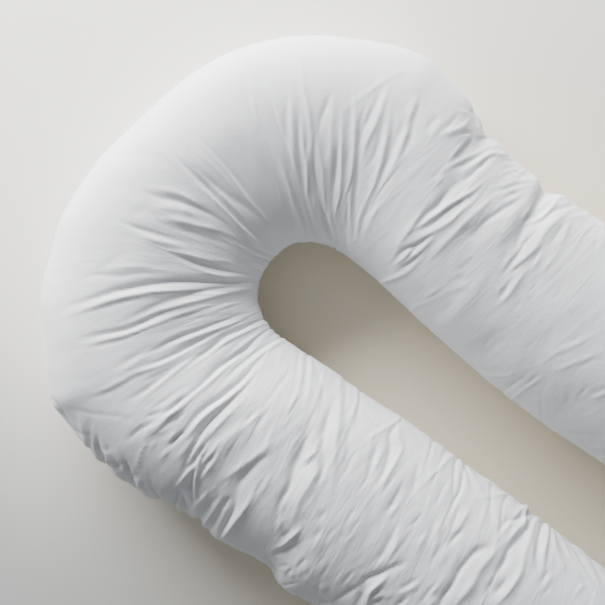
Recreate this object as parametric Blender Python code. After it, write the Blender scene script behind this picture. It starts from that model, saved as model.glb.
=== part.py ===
"""U-shaped body pillow: one filled cotton case, lying flat on its back panel.

Two long legs join in a half-round bend. A top panel and a back panel are sewn to each
other along the outer rim and round the inner opening. The filling crowns the top panel,
the seams draw the sides in, and the cloth gathers into folds that fan out of the bend.

Units are metres. +Y runs towards the bend, +X to the leg with the deep shoulder hollow,
and +Z up. The origin is the bottom centre of the bounding box.
"""

import math

import bpy
import numpy as np

# --- Driving sizes -----------------------------------------------------------------------
BEND_RADIUS = 0.240  # centreline of the bend, about the centre of the opening
LEG_LENGTH = 1.065  # from the bend's centre to the tip of each leg
LEG_ROUNDING = 0.150  # length over which each leg's end is rounded off
ROUNDING_POWER = 2.4
SEAM_HEIGHT = 0.083  # height of the outer and inner seams above the floor
SEAM_DRAW = 0.004  # how far the stitching pulls the sides in
BACK_SAG = 0.012  # how far the back panel would bulge if no floor flattened it
CROWN_POWER = 2.25  # 2 is an ellipse, more is fuller at the shoulders
TOP_STEPS = 15
BEND_STEPS = 122
SHOWN_LEG_STEPS = 56  # finer stations over the part of each leg that carries folds
PLAIN_LEG_STEPS = 9
ROUNDING_STEPS = 8
SHOWN_LEG_LENGTH = 0.500
END_FILL = 0.982  # how far along the rounding the last ring stands

# --- Pattern grid ------------------------------------------------------------------------
# The outline and the folds are marked on a square grid laid askew over the pillow.
SEAM_PITCH = 0.00157  # side of a square in the plane of the seams
CROWN_PITCH = 0.00149  # the same square on the crown, where the cloth is drawn together
GRID_TURN = math.radians(37.6)  # from a row of the grid to the leg's axis
GRID_CENTRE = (302.5, 302.5)
GRID_CENTRE_PLAN = (-0.0184, 0.0046)  # the grid's centre, from the centre of the bend
BOX_CENTRE_PLAN = (-0.0045, -0.3384)  # bounding box centre, from the centre of the bend

# Outer seam line: (column, row) on the pattern grid, from the +X leg round to the other.
OUTER_MARKS = (
    (605, 224), (579, 208), (556, 195), (541, 191), (538, 181), (525, 170), (509, 156),
    (498, 143), (484, 133), (481, 123), (472, 107), (456, 88), (444, 76), (425, 59),
    (408, 51), (366, 42), (328, 39), (286, 40), (248, 49), (217, 62), (187, 81),
    (156, 107), (134, 130), (105, 156), (88, 178), (66, 213), (54, 248), (44, 286),
    (44, 328), (46, 359), (52, 390), (58, 408), (73, 428), (93, 448), (107, 467),
    (135, 486), (166, 502), (193, 519), (204, 524), (217, 538), (232, 545), (262, 571),
    (286, 590), (305, 602),
)

# Inner seam line round the opening, the same way round.
INNER_MARKS = (
    (605, 463), (559, 432), (502, 390), (444, 340), (405, 303), (370, 272), (347, 255),
    (328, 246), (309, 242), (291, 244), (276, 254), (263, 270), (257, 286), (257, 303),
    (264, 320), (278, 336), (297, 349), (328, 370), (363, 396), (397, 417), (436, 444),
    (467, 467), (509, 498), (552, 531), (605, 571),
)

# Reach of each leg past the marks, from the centre plane: (distance down the leg, reach).
PLAIN_OUTER_RIGHT = ((-0.46, 0.376), (-0.70, 0.381), (-0.92, 0.376), (-1.065, 0.372))
PLAIN_OUTER_LEFT = ((-0.46, 0.386), (-0.70, 0.386), (-0.92, 0.379), (-1.065, 0.374))
PLAIN_INNER = ((-0.80, 0.065), (-1.065, 0.066))

# Loft of the crown: (distance along the centreline from the start of the bend, height).
LOFTS = (
    (-1.065, 0.176), (-0.80, 0.184), (-0.45, 0.187), (-0.20, 0.184), (-0.05, 0.187),
    (0.12, 0.190), (0.38, 0.192), (0.62, 0.190), (0.80, 0.187), (0.95, 0.186),
    (1.20, 0.188), (1.55, 0.184), (1.819, 0.176),
)

# Main folds of the top panel: depth (less than 0 is a ridge), half-width, and the route
# as (column, row) marks on the pattern grid.
FOLDS = (
    # name, depth, half_width, route
    ("shoulder hollow", 0.013, 0.012, ((494, 159), (474, 176), (455, 186), (438, 208), (420, 229), (401, 247), (394, 257))),
    ("shoulder ridge", -0.007, 0.008, ((492, 193), (470, 207), (447, 221), (425, 236), (405, 251))),
    ("shoulder pocket", 0.009, 0.008, ((493, 131), (477, 137), (466, 152), (457, 167))),
    ("pocket lip", -0.005, 0.006, ((502, 148), (485, 157), (466, 169))),
    ("right leg crease", 0.006, 0.009, ((535, 194), (511, 208), (490, 221), (468, 239))),
    ("right leg hollow", 0.011, 0.010, ((551, 196), (540, 211), (529, 225), (521, 243), (508, 263))),
    ("right leg ridge", -0.006, 0.009, ((562, 214), (546, 236), (530, 255), (517, 268))),
    ("right leg tuck", 0.006, 0.008, ((573, 223), (559, 241), (545, 258))),
    ("right leg dart", 0.006, 0.007, ((515, 280), (509, 292), (501, 302))),
    ("right leg dart lip", -0.005, 0.007, ((531, 269), (520, 287), (508, 300))),
    ("crown gather 1", 0.005, 0.008, ((421, 88), (414, 112), (404, 138))),
    ("crown gather 2", 0.006, 0.007, ((364, 107), (358, 130), (356, 160), (352, 205), (351, 232))),
    ("crown gather 3", 0.008, 0.007, ((336, 146), (332, 176), (330, 204), (334, 232))),
    ("crown ridge 3", -0.006, 0.007, ((339, 115), (338, 160), (336, 196), (333, 218))),
    ("crown gather 4", 0.009, 0.007, ((313, 140), (311, 166), (314, 188), (323, 222))),
    ("crown ridge 4", -0.006, 0.006, ((300, 84), (304, 110), (307, 140), (306, 165), (306, 194), (312, 218))),
    ("crown gather 5", 0.007, 0.008, ((294, 106), (295, 145), (299, 178), (308, 208), (315, 232))),
    ("crown gather 6", 0.006, 0.009, ((246, 102), (260, 135), (275, 165), (286, 193), (297, 224))),
    ("crown ridge 6", -0.005, 0.008, ((272, 148), (284, 178), (295, 212))),
    ("bend gather 1", 0.007, 0.009, ((193, 161), (211, 177), (231, 191), (253, 206))),
    ("bend gather 2", 0.010, 0.008, ((175, 153), (198, 176), (221, 199), (241, 220), (264, 240))),
    ("bend ridge 2", -0.006, 0.007, ((203, 188), (224, 205), (246, 230), (272, 249))),
    ("bend gather 3", 0.009, 0.009, ((148, 195), (173, 198), (200, 207), (226, 218))),
    ("bend ridge 3", -0.005, 0.009, ((167, 215), (194, 219), (224, 227))),
    ("bend gather 4", 0.006, 0.008, ((124, 224), (150, 230), (182, 240))),
    ("bend gather 5", 0.007, 0.008, ((178, 254), (205, 262), (238, 269))),
    ("long fold", 0.013, 0.009, ((63, 309), (87, 299), (115, 289), (145, 282), (180, 280), (220, 280), (254, 278))),
    ("long fold ridge", -0.006, 0.008, ((72, 312), (101, 301), (132, 293), (174, 288), (212, 288))),
    ("bend gather 6", 0.009, 0.008, ((122, 320), (147, 308), (171, 299), (205, 291), (240, 286))),
    ("bend gather 7", 0.010, 0.008, ((82, 337), (112, 331), (142, 320), (176, 307))),
    ("bend gather 8", 0.009, 0.007, ((150, 352), (180, 337), (208, 326), (242, 313))),
    ("bend gather 9", 0.010, 0.007, ((146, 365), (180, 350), (210, 336), (236, 329), (258, 319))),
    ("bend gather 10", 0.007, 0.007, ((184, 366), (206, 350), (229, 335))),
    ("bend gather 11", 0.010, 0.008, ((167, 410), (190, 391), (215, 368), (240, 346), (264, 330))),
    ("bend gather 12", 0.012, 0.009, ((182, 468), (189, 446), (205, 423), (224, 402), (244, 377), (264, 350))),
    ("bend gather 13", 0.007, 0.007, ((207, 402), (188, 423), (172, 440))),
    ("bend gather 14", 0.006, 0.008, ((262, 398), (277, 379), (287, 358))),
    ("left rim tuck 1", 0.007, 0.008, ((96, 436), (99, 450), (105, 463))),
    ("left rim ridge 2", -0.009, 0.007, ((204, 446), (197, 466), (193, 487), (193, 507))),
    ("left rim tuck 2", 0.009, 0.008, ((188, 468), (186, 486), (187, 504))),
    ("left rim tuck 3", 0.010, 0.008, ((206, 498), (199, 508), (197, 520))),
    ("left leg hollow", 0.014, 0.011, ((270, 449), (252, 466), (236, 486), (225, 508), (218, 528))),
    ("left leg peak", -0.012, 0.010, ((254, 489), (241, 508), (230, 526), (219, 537))),
    ("left leg ridge", -0.005, 0.010, ((269, 434), (250, 454), (228, 473))),
    ("left leg fold 1", 0.011, 0.009, ((307, 443), (293, 462), (286, 480), (277, 506), (271, 527))),
    ("left leg ridge 1", -0.010, 0.008, ((300, 522), (287, 536), (273, 546))),
    ("left leg tuck 1", 0.010, 0.008, ((300, 537), (286, 548), (272, 555))),
    ("left rim tuck 4", 0.008, 0.008, ((266, 557), (270, 570), (276, 582))),
    ("left leg fold 2", 0.010, 0.010, ((333, 394), (325, 412), (321, 440), (318, 470), (315, 498))),
    ("left leg ridge 2", -0.006, 0.009, ((334, 402), (330, 435), (327, 470), (324, 500))),
    ("left leg fold 3", 0.006, 0.009, ((351, 420), (346, 445), (340, 476))),
    ("left leg fold 4", 0.006, 0.010, ((388, 428), (388, 452), (378, 478), (366, 502))),
    ("left leg fold 5", 0.013, 0.010, ((402, 562), (385, 568), (366, 578), (352, 592), (337, 604))),
    ("left leg ridge 5", -0.010, 0.009, ((383, 578), (369, 590), (359, 604))),
    ("left leg fold 6", 0.012, 0.010, ((497, 543), (479, 554), (465, 574), (453, 592), (443, 606))),
    ("left leg ridge 6", -0.007, 0.011, ((504, 549), (488, 568), (474, 587), (462, 603))),
    ("left leg fold 7", 0.012, 0.009, ((528, 528), (515, 550), (503, 571), (496, 602))),
    ("left leg ridge 7", -0.006, 0.010, ((539, 534), (531, 560), (514, 588), (502, 602))),
    ("left leg tuck 7", 0.008, 0.007, ((528, 515), (514, 519), (508, 532))),
    ("left leg tuck 8", 0.009, 0.008, ((551, 523), (546, 545), (545, 563))),
    ("left leg fold 9", 0.006, 0.009, ((470, 477), (465, 498), (456, 521))),
)
FOLD_FADE = 0.22  # share of a fold's route over which each end dies away
FOLD_START = 0.045  # height at which a fold running down a side begins
FOLD_FULL = 0.085  # height from which it has its whole depth

SOLID_NAME = "pillow"
CASE_COLOUR = (0.80, 0.80, 0.79, 1.0)


def hermite(at, knots, values):
    """Smooth curve through (knots, values), read at each of at. The knots rise."""
    slopes = np.gradient(values, knots)
    index = np.clip(np.searchsorted(knots, at) - 1, 0, len(knots) - 2)
    span = knots[index + 1] - knots[index]
    t = np.clip((at - knots[index]) / span, 0.0, 1.0)
    start = (1 + 2 * t) * (1 - t) ** 2 * values[index] + t * (1 - t) ** 2 * span * slopes[index]
    end = t**2 * (3 - 2 * t) * values[index + 1] - t**2 * (1 - t) * span * slopes[index + 1]
    return start + end


def smooth_step(value, low, high):
    t = np.clip((value - low) / (high - low), 0.0, 1.0)
    return t * t * (3 - 2 * t)


def to_plan(marks, pitch):
    """Pattern grid marks as (x, y) from the centre of the bend."""
    column, row = (np.asarray(marks, float) - GRID_CENTRE).T * pitch
    x = column * math.sin(GRID_TURN) - row * math.cos(GRID_TURN) + GRID_CENTRE_PLAN[0]
    y = -column * math.cos(GRID_TURN) - row * math.sin(GRID_TURN) + GRID_CENTRE_PLAN[1]
    return np.stack([x, y], axis=1)


def along_and_reach(points):
    """Distance along the centreline, and reach from the centre plane or the bend's centre."""
    x, y = points.T
    turn = np.arctan2(np.maximum(y, 0.0), x)
    along = BEND_RADIUS * turn + np.where(x > 0, np.minimum(y, 0.0), -np.minimum(y, 0.0))
    reach = np.where(y > 0, np.hypot(x, y), np.abs(x))
    return along, reach


def rail(marks, right_leg, left_leg):
    """One seam line as rising distances along the centreline and its reach at each."""
    along, reach = along_and_reach(to_plan(marks, SEAM_PITCH))
    far = math.pi * BEND_RADIUS
    first = np.array(right_leg[::-1])
    last = np.array(left_leg)
    knots = np.concatenate([first[:, 0], along, far - last[:, 0]])
    values = np.concatenate([first[:, 1], reach, last[:, 1]])
    order = np.argsort(knots)
    return knots[order], values[order]


def stations():
    """Distance along the centreline and the end rounding's scale at each station."""
    far = math.pi * BEND_RADIUS
    plain_start = LEG_LENGTH - LEG_ROUNDING
    rounding = 1 - END_FILL * np.sin(np.linspace(math.pi / 2, 0, ROUNDING_STEPS + 1))
    leg = np.concatenate(
        [
            -LEG_LENGTH + LEG_ROUNDING * rounding,
            np.linspace(-plain_start, -SHOWN_LEG_LENGTH, PLAIN_LEG_STEPS + 1)[1:],
            np.linspace(-SHOWN_LEG_LENGTH, 0.0, SHOWN_LEG_STEPS + 1)[1:],
        ]
    )
    bend = np.linspace(0.0, far, BEND_STEPS + 1)[1:-1]
    along = np.concatenate([leg, bend, far - leg[::-1]])
    from_tip = np.minimum(along, far - along) + LEG_LENGTH
    into_end = np.clip(1 - from_tip / LEG_ROUNDING, 0.0, 1.0)
    scale = (1 - into_end**ROUNDING_POWER) ** (1 / ROUNDING_POWER)
    return along, scale


def section_rings(along, scale):
    """Reach and height of every ring point at every station, as (station, ring) grids."""
    outer = hermite(along, *rail(OUTER_MARKS, PLAIN_OUTER_RIGHT, PLAIN_OUTER_LEFT))
    inner = hermite(along, *rail(INNER_MARKS, PLAIN_INNER, PLAIN_INNER)) - SEAM_DRAW
    loft = hermite(along, *np.array(LOFTS).T)
    middle = (outer + inner)[:, None] / 2
    half = (outer - inner)[:, None] / 2

    turn = np.linspace(0.0, math.pi, TOP_STEPS + 1)
    across = np.sign(np.cos(turn)) * np.abs(np.cos(turn)) ** (2 / CROWN_POWER)
    rise = np.sin(turn).clip(0) ** (2 / CROWN_POWER)
    top_reach = half * across
    top_reach[:, 0] -= SEAM_DRAW
    top_reach[:, -1] += SEAM_DRAW
    top_height = SEAM_HEIGHT + (loft[:, None] - SEAM_HEIGHT) * rise

    bulge = SEAM_HEIGHT + BACK_SAG
    under = math.asin(SEAM_HEIGHT / bulge) * np.array([1, 2, 3]) / 3
    side_across = np.cos(under)
    side_height = SEAM_HEIGHT - bulge * np.sin(under)
    side_height[-1] = 0.0
    back_reach = half * np.concatenate([-side_across, side_across[::-1]])
    back_level = np.concatenate([side_height, side_height[::-1]])
    back_height = np.broadcast_to(back_level, back_reach.shape)

    reach = np.concatenate([top_reach, back_reach], axis=1)
    height = np.concatenate([top_height, back_height], axis=1)
    reach = middle + reach * scale[:, None]
    height = SEAM_HEIGHT + (height - SEAM_HEIGHT) * scale[:, None]
    return reach, height


def place(along, reach, height):
    """Stations, reaches and heights as (station, ring, 3) points from the bend's centre."""
    far = math.pi * BEND_RADIUS
    turn = np.clip(along, 0.0, far)[:, None] / BEND_RADIUS
    down = (np.minimum(along, 0.0) + np.minimum(far - along, 0.0))[:, None]
    return np.stack([reach * np.cos(turn), reach * np.sin(turn) + down, height], axis=2)


def outward(points):
    """Unit direction out of the surface at each point of a (station, ring) grid."""
    around = np.roll(points, -1, axis=1) - np.roll(points, 1, axis=1)
    along = np.gradient(points, axis=0)
    normal = np.cross(along, around)
    return normal / np.linalg.norm(normal, axis=2, keepdims=True)


def route_distance(points, route):
    """Distance of each plan point from a route, and its share of the way along it."""
    lengths = np.linalg.norm(np.diff(route, axis=0), axis=1)
    starts = np.concatenate([[0.0], np.cumsum(lengths)])
    best = np.full(points.shape[:-1], np.inf)
    share = np.zeros(points.shape[:-1])
    for begin, end, length, start in zip(route[:-1], route[1:], lengths, starts):
        step = end - begin
        t = np.clip((points - begin) @ step / length**2, 0.0, 1.0)
        gap = np.linalg.norm(points - begin - t[..., None] * step, axis=-1)
        nearer = gap < best
        best = np.where(nearer, gap, best)
        share = np.where(nearer, (start + t * length) / starts[-1], share)
    return best, share


def fold_relief(points):
    """How far the folds move each point along its outward direction."""
    plan = points[..., :2]
    shown = smooth_step(points[..., 2], FOLD_START, FOLD_FULL)
    relief = np.zeros(plan.shape[:-1])
    for _, depth, half_width, marks in FOLDS:
        gap, share = route_distance(plan, to_plan(marks, CROWN_PITCH))
        fade = smooth_step(share, 0.0, FOLD_FADE) * smooth_step(1 - share, 0.0, FOLD_FADE)
        shape = np.exp(-((gap / half_width) ** 2))
        lips = 0.22 * np.exp(-(((gap - 2.1 * half_width) / half_width) ** 2))
        relief -= depth * fade * (shape - lips)
    return relief * shown


def build_mesh():
    along, scale = stations()
    points = place(along, *section_rings(along, scale))
    points = points + outward(points) * fold_relief(points)[..., None]
    rows, ring = points.shape[:2]
    tips = points[[0, -1]].mean(axis=1)
    tips[:, 1] = -LEG_LENGTH
    tips[:, 2] = SEAM_HEIGHT
    points = np.concatenate([points.reshape(-1, 3), tips])
    points[:, :2] -= BOX_CENTRE_PLAN

    row, spoke = np.meshgrid(np.arange(rows - 1), np.arange(ring), indexing="ij")
    after = (spoke + 1) % ring
    here = row * ring
    corners = [here + spoke, here + ring + spoke, here + ring + after, here + after]
    sides = np.stack(corners, axis=-1).reshape(-1, 4)
    first = np.arange(ring)
    following = (first + 1) % ring
    last = (rows - 1) * ring
    start_cap = np.stack([first, following, np.full(ring, rows * ring)], axis=1)
    end_cap = np.stack([last + following, last + first, np.full(ring, rows * ring + 1)], axis=1)
    faces = sides.tolist() + start_cap.tolist() + end_cap.tolist()

    mesh = bpy.data.meshes.new(SOLID_NAME)
    mesh.from_pydata(points.tolist(), [], faces)
    mesh.polygons.foreach_set("use_smooth", np.ones(len(faces), bool))
    mesh.validate()
    return mesh


def case_material():
    material = bpy.data.materials.new("white_cotton")
    material.use_nodes = True
    shader = material.node_tree.nodes["Principled BSDF"]
    shader.inputs["Base Color"].default_value = CASE_COLOUR
    shader.inputs["Roughness"].default_value = 0.85
    return material


def main():
    for old in list(bpy.data.objects):
        bpy.data.objects.remove(old, do_unlink=True)
    collection = bpy.data.collections.new("body_pillow")
    bpy.context.scene.collection.children.link(collection)
    pillow = bpy.data.objects.new(SOLID_NAME, build_mesh())
    pillow.data.materials.append(case_material())
    collection.objects.link(pillow)


main()
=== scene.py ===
"""Body pillow: a U-shaped filled cotton case lying on a pale floor.

The case is one closed grid of points: stations along the centreline of the legs and the bend,
by ring points round each section. Blender's cloth settles the plump case, the main folds are
then pressed in from tables, and smaller ones are seeded between them.
"""

import sys
import logging
import math
from dataclasses import dataclass, field, replace
from enum import Enum

import bpy
import numpy as np
from mathutils import Matrix, Vector


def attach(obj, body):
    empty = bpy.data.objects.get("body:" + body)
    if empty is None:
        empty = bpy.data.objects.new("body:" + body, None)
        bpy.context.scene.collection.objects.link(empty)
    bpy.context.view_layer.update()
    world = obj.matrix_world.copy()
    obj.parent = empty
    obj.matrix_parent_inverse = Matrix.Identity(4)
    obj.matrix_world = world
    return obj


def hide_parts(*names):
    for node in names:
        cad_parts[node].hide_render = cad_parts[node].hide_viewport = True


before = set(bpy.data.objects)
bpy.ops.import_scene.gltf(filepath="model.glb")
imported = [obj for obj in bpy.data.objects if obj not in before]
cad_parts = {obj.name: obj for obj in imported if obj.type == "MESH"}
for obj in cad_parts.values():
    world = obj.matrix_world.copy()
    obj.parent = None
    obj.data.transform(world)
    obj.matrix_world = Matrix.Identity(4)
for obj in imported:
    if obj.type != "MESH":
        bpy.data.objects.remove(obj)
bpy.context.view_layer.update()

log = logging.getLogger("body_pillow")
Array = np.ndarray
Pair = tuple[float, float]
Route = tuple[Pair, ...]
FoldRow = tuple[float, float, Route]
Colour = tuple[float, float, float, float]
Patches = tuple[tuple[float, float, float, float], ...]
Vector3 = tuple[float, float, float]
Value = float | Colour | Vector3
MM = 0.001
WAVE_RATE = 20.0  # radians that Blender's wave texture turns through in one unit


def smooth_step(value: Array, low: float, high: float) -> Array:
    """0 below low, 1 above high, and 3t^2 - 2t^3 between, t being the share of the way."""
    t = np.clip((value - low) / (high - low), 0.0, 1.0)
    return t * t * (3 - 2 * t)


def hermite(at: Array, knots: Array, values: Array) -> Array:
    """Smooth curve through (knots, values).

    Args:
        at: Where to read the curve.
        knots: Rising positions.
        values: The curve's value at each knot, along the first axis.

    Returns:
        The curve at each of at.
    """
    slopes = np.gradient(values, knots, axis=0)
    index = np.clip(np.searchsorted(knots, at) - 1, 0, len(knots) - 2)
    shape = (-1,) + (1,) * (np.ndim(values) - 1)
    span = (knots[index + 1] - knots[index]).reshape(shape)
    t = np.clip((at - knots[index]).reshape(shape) / span, 0.0, 1.0)
    rise = (1 + 2 * t) * (1 - t) ** 2 * values[index] + t * (1 - t) ** 2 * span * slopes[index]
    fall = t**2 * (3 - 2 * t) * values[index + 1] - t**2 * (1 - t) * span * slopes[index + 1]
    return rise + fall


@dataclass(frozen=True)
class PatternGrid:
    """The askew square grid that the outline and folds are marked on, sighted from above.

    A mark is (column, row). Marks are sighted from a point straight over the grid's centre,
    so a mark's place in plan draws in towards the centre as the cloth rises.
    """

    pitch: float = 0.00157
    sight_height: float = 1.9
    pitch_height: float = 0.085
    turn: float = math.radians(37.6)
    centre: Pair = (302.5, 302.5)
    centre_from_bend: Pair = (-0.0184, 0.0046)

    def pitch_at(self, height: Array | float) -> Array | float:
        """Side of one square at a height, in metres."""
        return self.pitch * (self.sight_height - height) / (self.sight_height - self.pitch_height)

    def plan(self, marks: Array, height: float) -> Array:
        """Marks as plan points, (x, y) from the centre of the bend.

        Args:
            marks: (mark, 2) marks.
            height: The one height that they lie at.

        Returns:
            The points, as (mark, 2).
        """
        scale = self.pitch_at(height)
        column, row = (np.asarray(marks, float) - self.centre).T * scale
        x = column * math.sin(self.turn) - row * math.cos(self.turn)
        y = -column * math.cos(self.turn) - row * math.sin(self.turn)
        return np.stack([x, y], axis=1) + self.centre_from_bend

    def marks(self, points: Array) -> Array:
        """The marks that points are sighted at.

        Args:
            points: (station, ring, 3) points from the centre of the bend.

        Returns:
            The marks, as (station, ring, 2).
        """
        x, y = (points[..., :2] - self.centre_from_bend).transpose(2, 0, 1)
        scale = self.pitch_at(points[..., 2])
        column = (x * math.sin(self.turn) - y * math.cos(self.turn)) / scale
        row = (-x * math.cos(self.turn) - y * math.sin(self.turn)) / scale
        return np.stack([column, row], axis=-1) + self.centre

    def patches(self, points: Array, base: float, patches: Patches) -> Array:
        """A strength that is raised in round patches and dies away from each as a bell.

        Args:
            points: (station, ring, 3) points from the centre of the bend.
            base: The strength away from every patch.
            patches: (column, row, radius, gain) of each.

        Returns:
            The strength at each point.
        """
        marks = self.marks(points)
        strength = np.full(marks.shape[:2], base)
        for column, row, radius, gain in patches:
            gap = np.hypot(marks[..., 0] - column, marks[..., 1] - row) / radius
            strength += gain * np.exp(-(gap**2))
        return strength


# Rows of a fold table: depth in mm (less than 0 is a ridge), half-width in mm, and the route
# as (column, row) marks on the pattern grid.
SHOULDER_FOLDS: tuple[FoldRow, ...] = (
    (-3.5, 2.4, ((452.5, 170.4), (458, 171.3), (465, 167.5), (470, 164), (477, 160), (482, 156), (488, 152.5),
        (495, 151.5), (500, 152.5), (509, 152.5))),
    (-3.0, 2.6, ((431.5, 179), (435, 175), (440, 170.5), (448, 165), (453.5, 161.5), (459, 159), (465, 156),
        (470, 154), (477, 150.5), (483.5, 146.5), (490, 145))),
    (3.5, 2.6, ((453.5, 165), (459, 163.5), (465, 161), (471.5, 157), (478.5, 152.5), (486, 148.5))),
    (-3.0, 2.2, ((448.5, 157.5), (452.5, 151.5), (456.5, 147.5), (461, 142.5), (463.5, 141))),
    (5.0, 5.5, ((452, 157.5), (458, 152), (462.5, 147), (466.5, 142), (470, 136), (471, 131))),
    (-4.5, 5.5, ((440, 131.5), (448.5, 128.5), (456.5, 126), (463.5, 121.5), (467, 117.5))),
    (4.0, 1.8, ((459, 132.5), (465, 131), (470, 131), (472, 135))),
    (4.5, 6.0, ((474, 121), (474.5, 127), (475, 131))),
    (-2.0, 1.2, ((471.5, 131.5), (479, 133.5), (482.5, 134))),
    (4.0, 2.4, ((478, 139), (482, 137), (487.5, 135.5))),
    (6.5, 3.2, ((491.5, 154), (486, 157.5), (481, 162.5), (476, 166.5), (471.5, 171), (465, 176.5),
        (461.5, 181.5))),
    (5.0, 9.0, ((462, 174), (453, 181), (446, 187), (439, 194), (434, 200))),
    (7.0, 5.0, ((446, 190), (440, 197), (434, 204), (428, 208.5), (423, 212.5), (418, 218.5), (413, 223.5),
        (411.5, 226))),
    (-3.0, 5.0, ((420, 209), (415, 216), (410, 223.5), (404, 231), (400, 237), (395, 245))),
    (-5.0, 2.8, ((486, 176.5), (479, 182.5), (473.5, 187.5), (467.5, 191), (461.5, 194.5), (455, 198.5),
        (448.5, 202.5), (443, 206), (436.5, 211), (430, 215), (422.5, 221), (417.5, 224), (413.5, 226.5))),
    (4.5, 2.2, ((474, 190), (469, 194), (463, 198), (456.5, 202), (450.5, 206), (444, 211), (440, 214.5),
        (435, 219), (428.5, 223.5), (422.5, 226), (416, 228.5), (410, 232), (406, 235), (403.5, 239))),
    (-6.0, 5.0, ((478.5, 191.5), (473.5, 196), (468.5, 200), (462, 205.5), (455, 211.5), (449, 217.5),
        (442.5, 221.5), (436, 226), (428.5, 230), (421, 234), (413.5, 238.5), (406.5, 242.5), (401, 243.5))),
    (5.5, 2.6, ((431, 232.5), (425, 236), (420, 240), (415, 242.5), (410, 244.5), (404, 246.5), (399, 251),
        (395, 255), (391, 260))),
    (4.0, 1.8, ((416, 242.5), (412.5, 246.5), (409, 251.5), (406, 255))),
    (-4.0, 1.8, ((412.5, 245), (408.5, 250), (404, 255), (399, 259), (395, 262.5))),
    (-5.0, 3.5, ((431, 235), (426.5, 240), (421.5, 245), (416.5, 250), (411.5, 254), (407.5, 257.5),
        (404, 259))),
    (4.0, 2.4, ((419, 251.5), (414, 256), (409, 260), (404, 264), (399, 267.5), (395, 271))),
    (-3.5, 3.2, ((418.5, 257.5), (413.5, 262.5), (408.5, 267.5), (404, 271), (399, 273.5), (395, 275))),
    (-2.4, 4.0, ((412.5, 98), (409, 106), (407, 116), (405, 121))),
    (-1.6, 2.0, ((404, 131.5), (400.5, 138.5))),
    (2.4, 3.2, ((436.5, 115), (431.5, 119), (427.5, 124), (425.5, 130))),
    (-2.0, 3.2, ((440, 120), (435, 126.5), (431.5, 131.5), (429, 135))),
    (2.6, 3.2, ((456.5, 111.5), (451.5, 118.5), (447.5, 123.5), (441.5, 128.5))),
    (-2.0, 2.0, ((456.5, 107.5), (462.5, 110), (466.5, 114))),
    (1.8, 1.5, ((461.5, 106), (470, 109))),
    (2.2, 2.4, ((431.5, 176.5), (436.5, 172.5), (441.5, 169))),
    (-2.2, 2.6, ((432.5, 185), (436.5, 180), (441.5, 175))),
)
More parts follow.
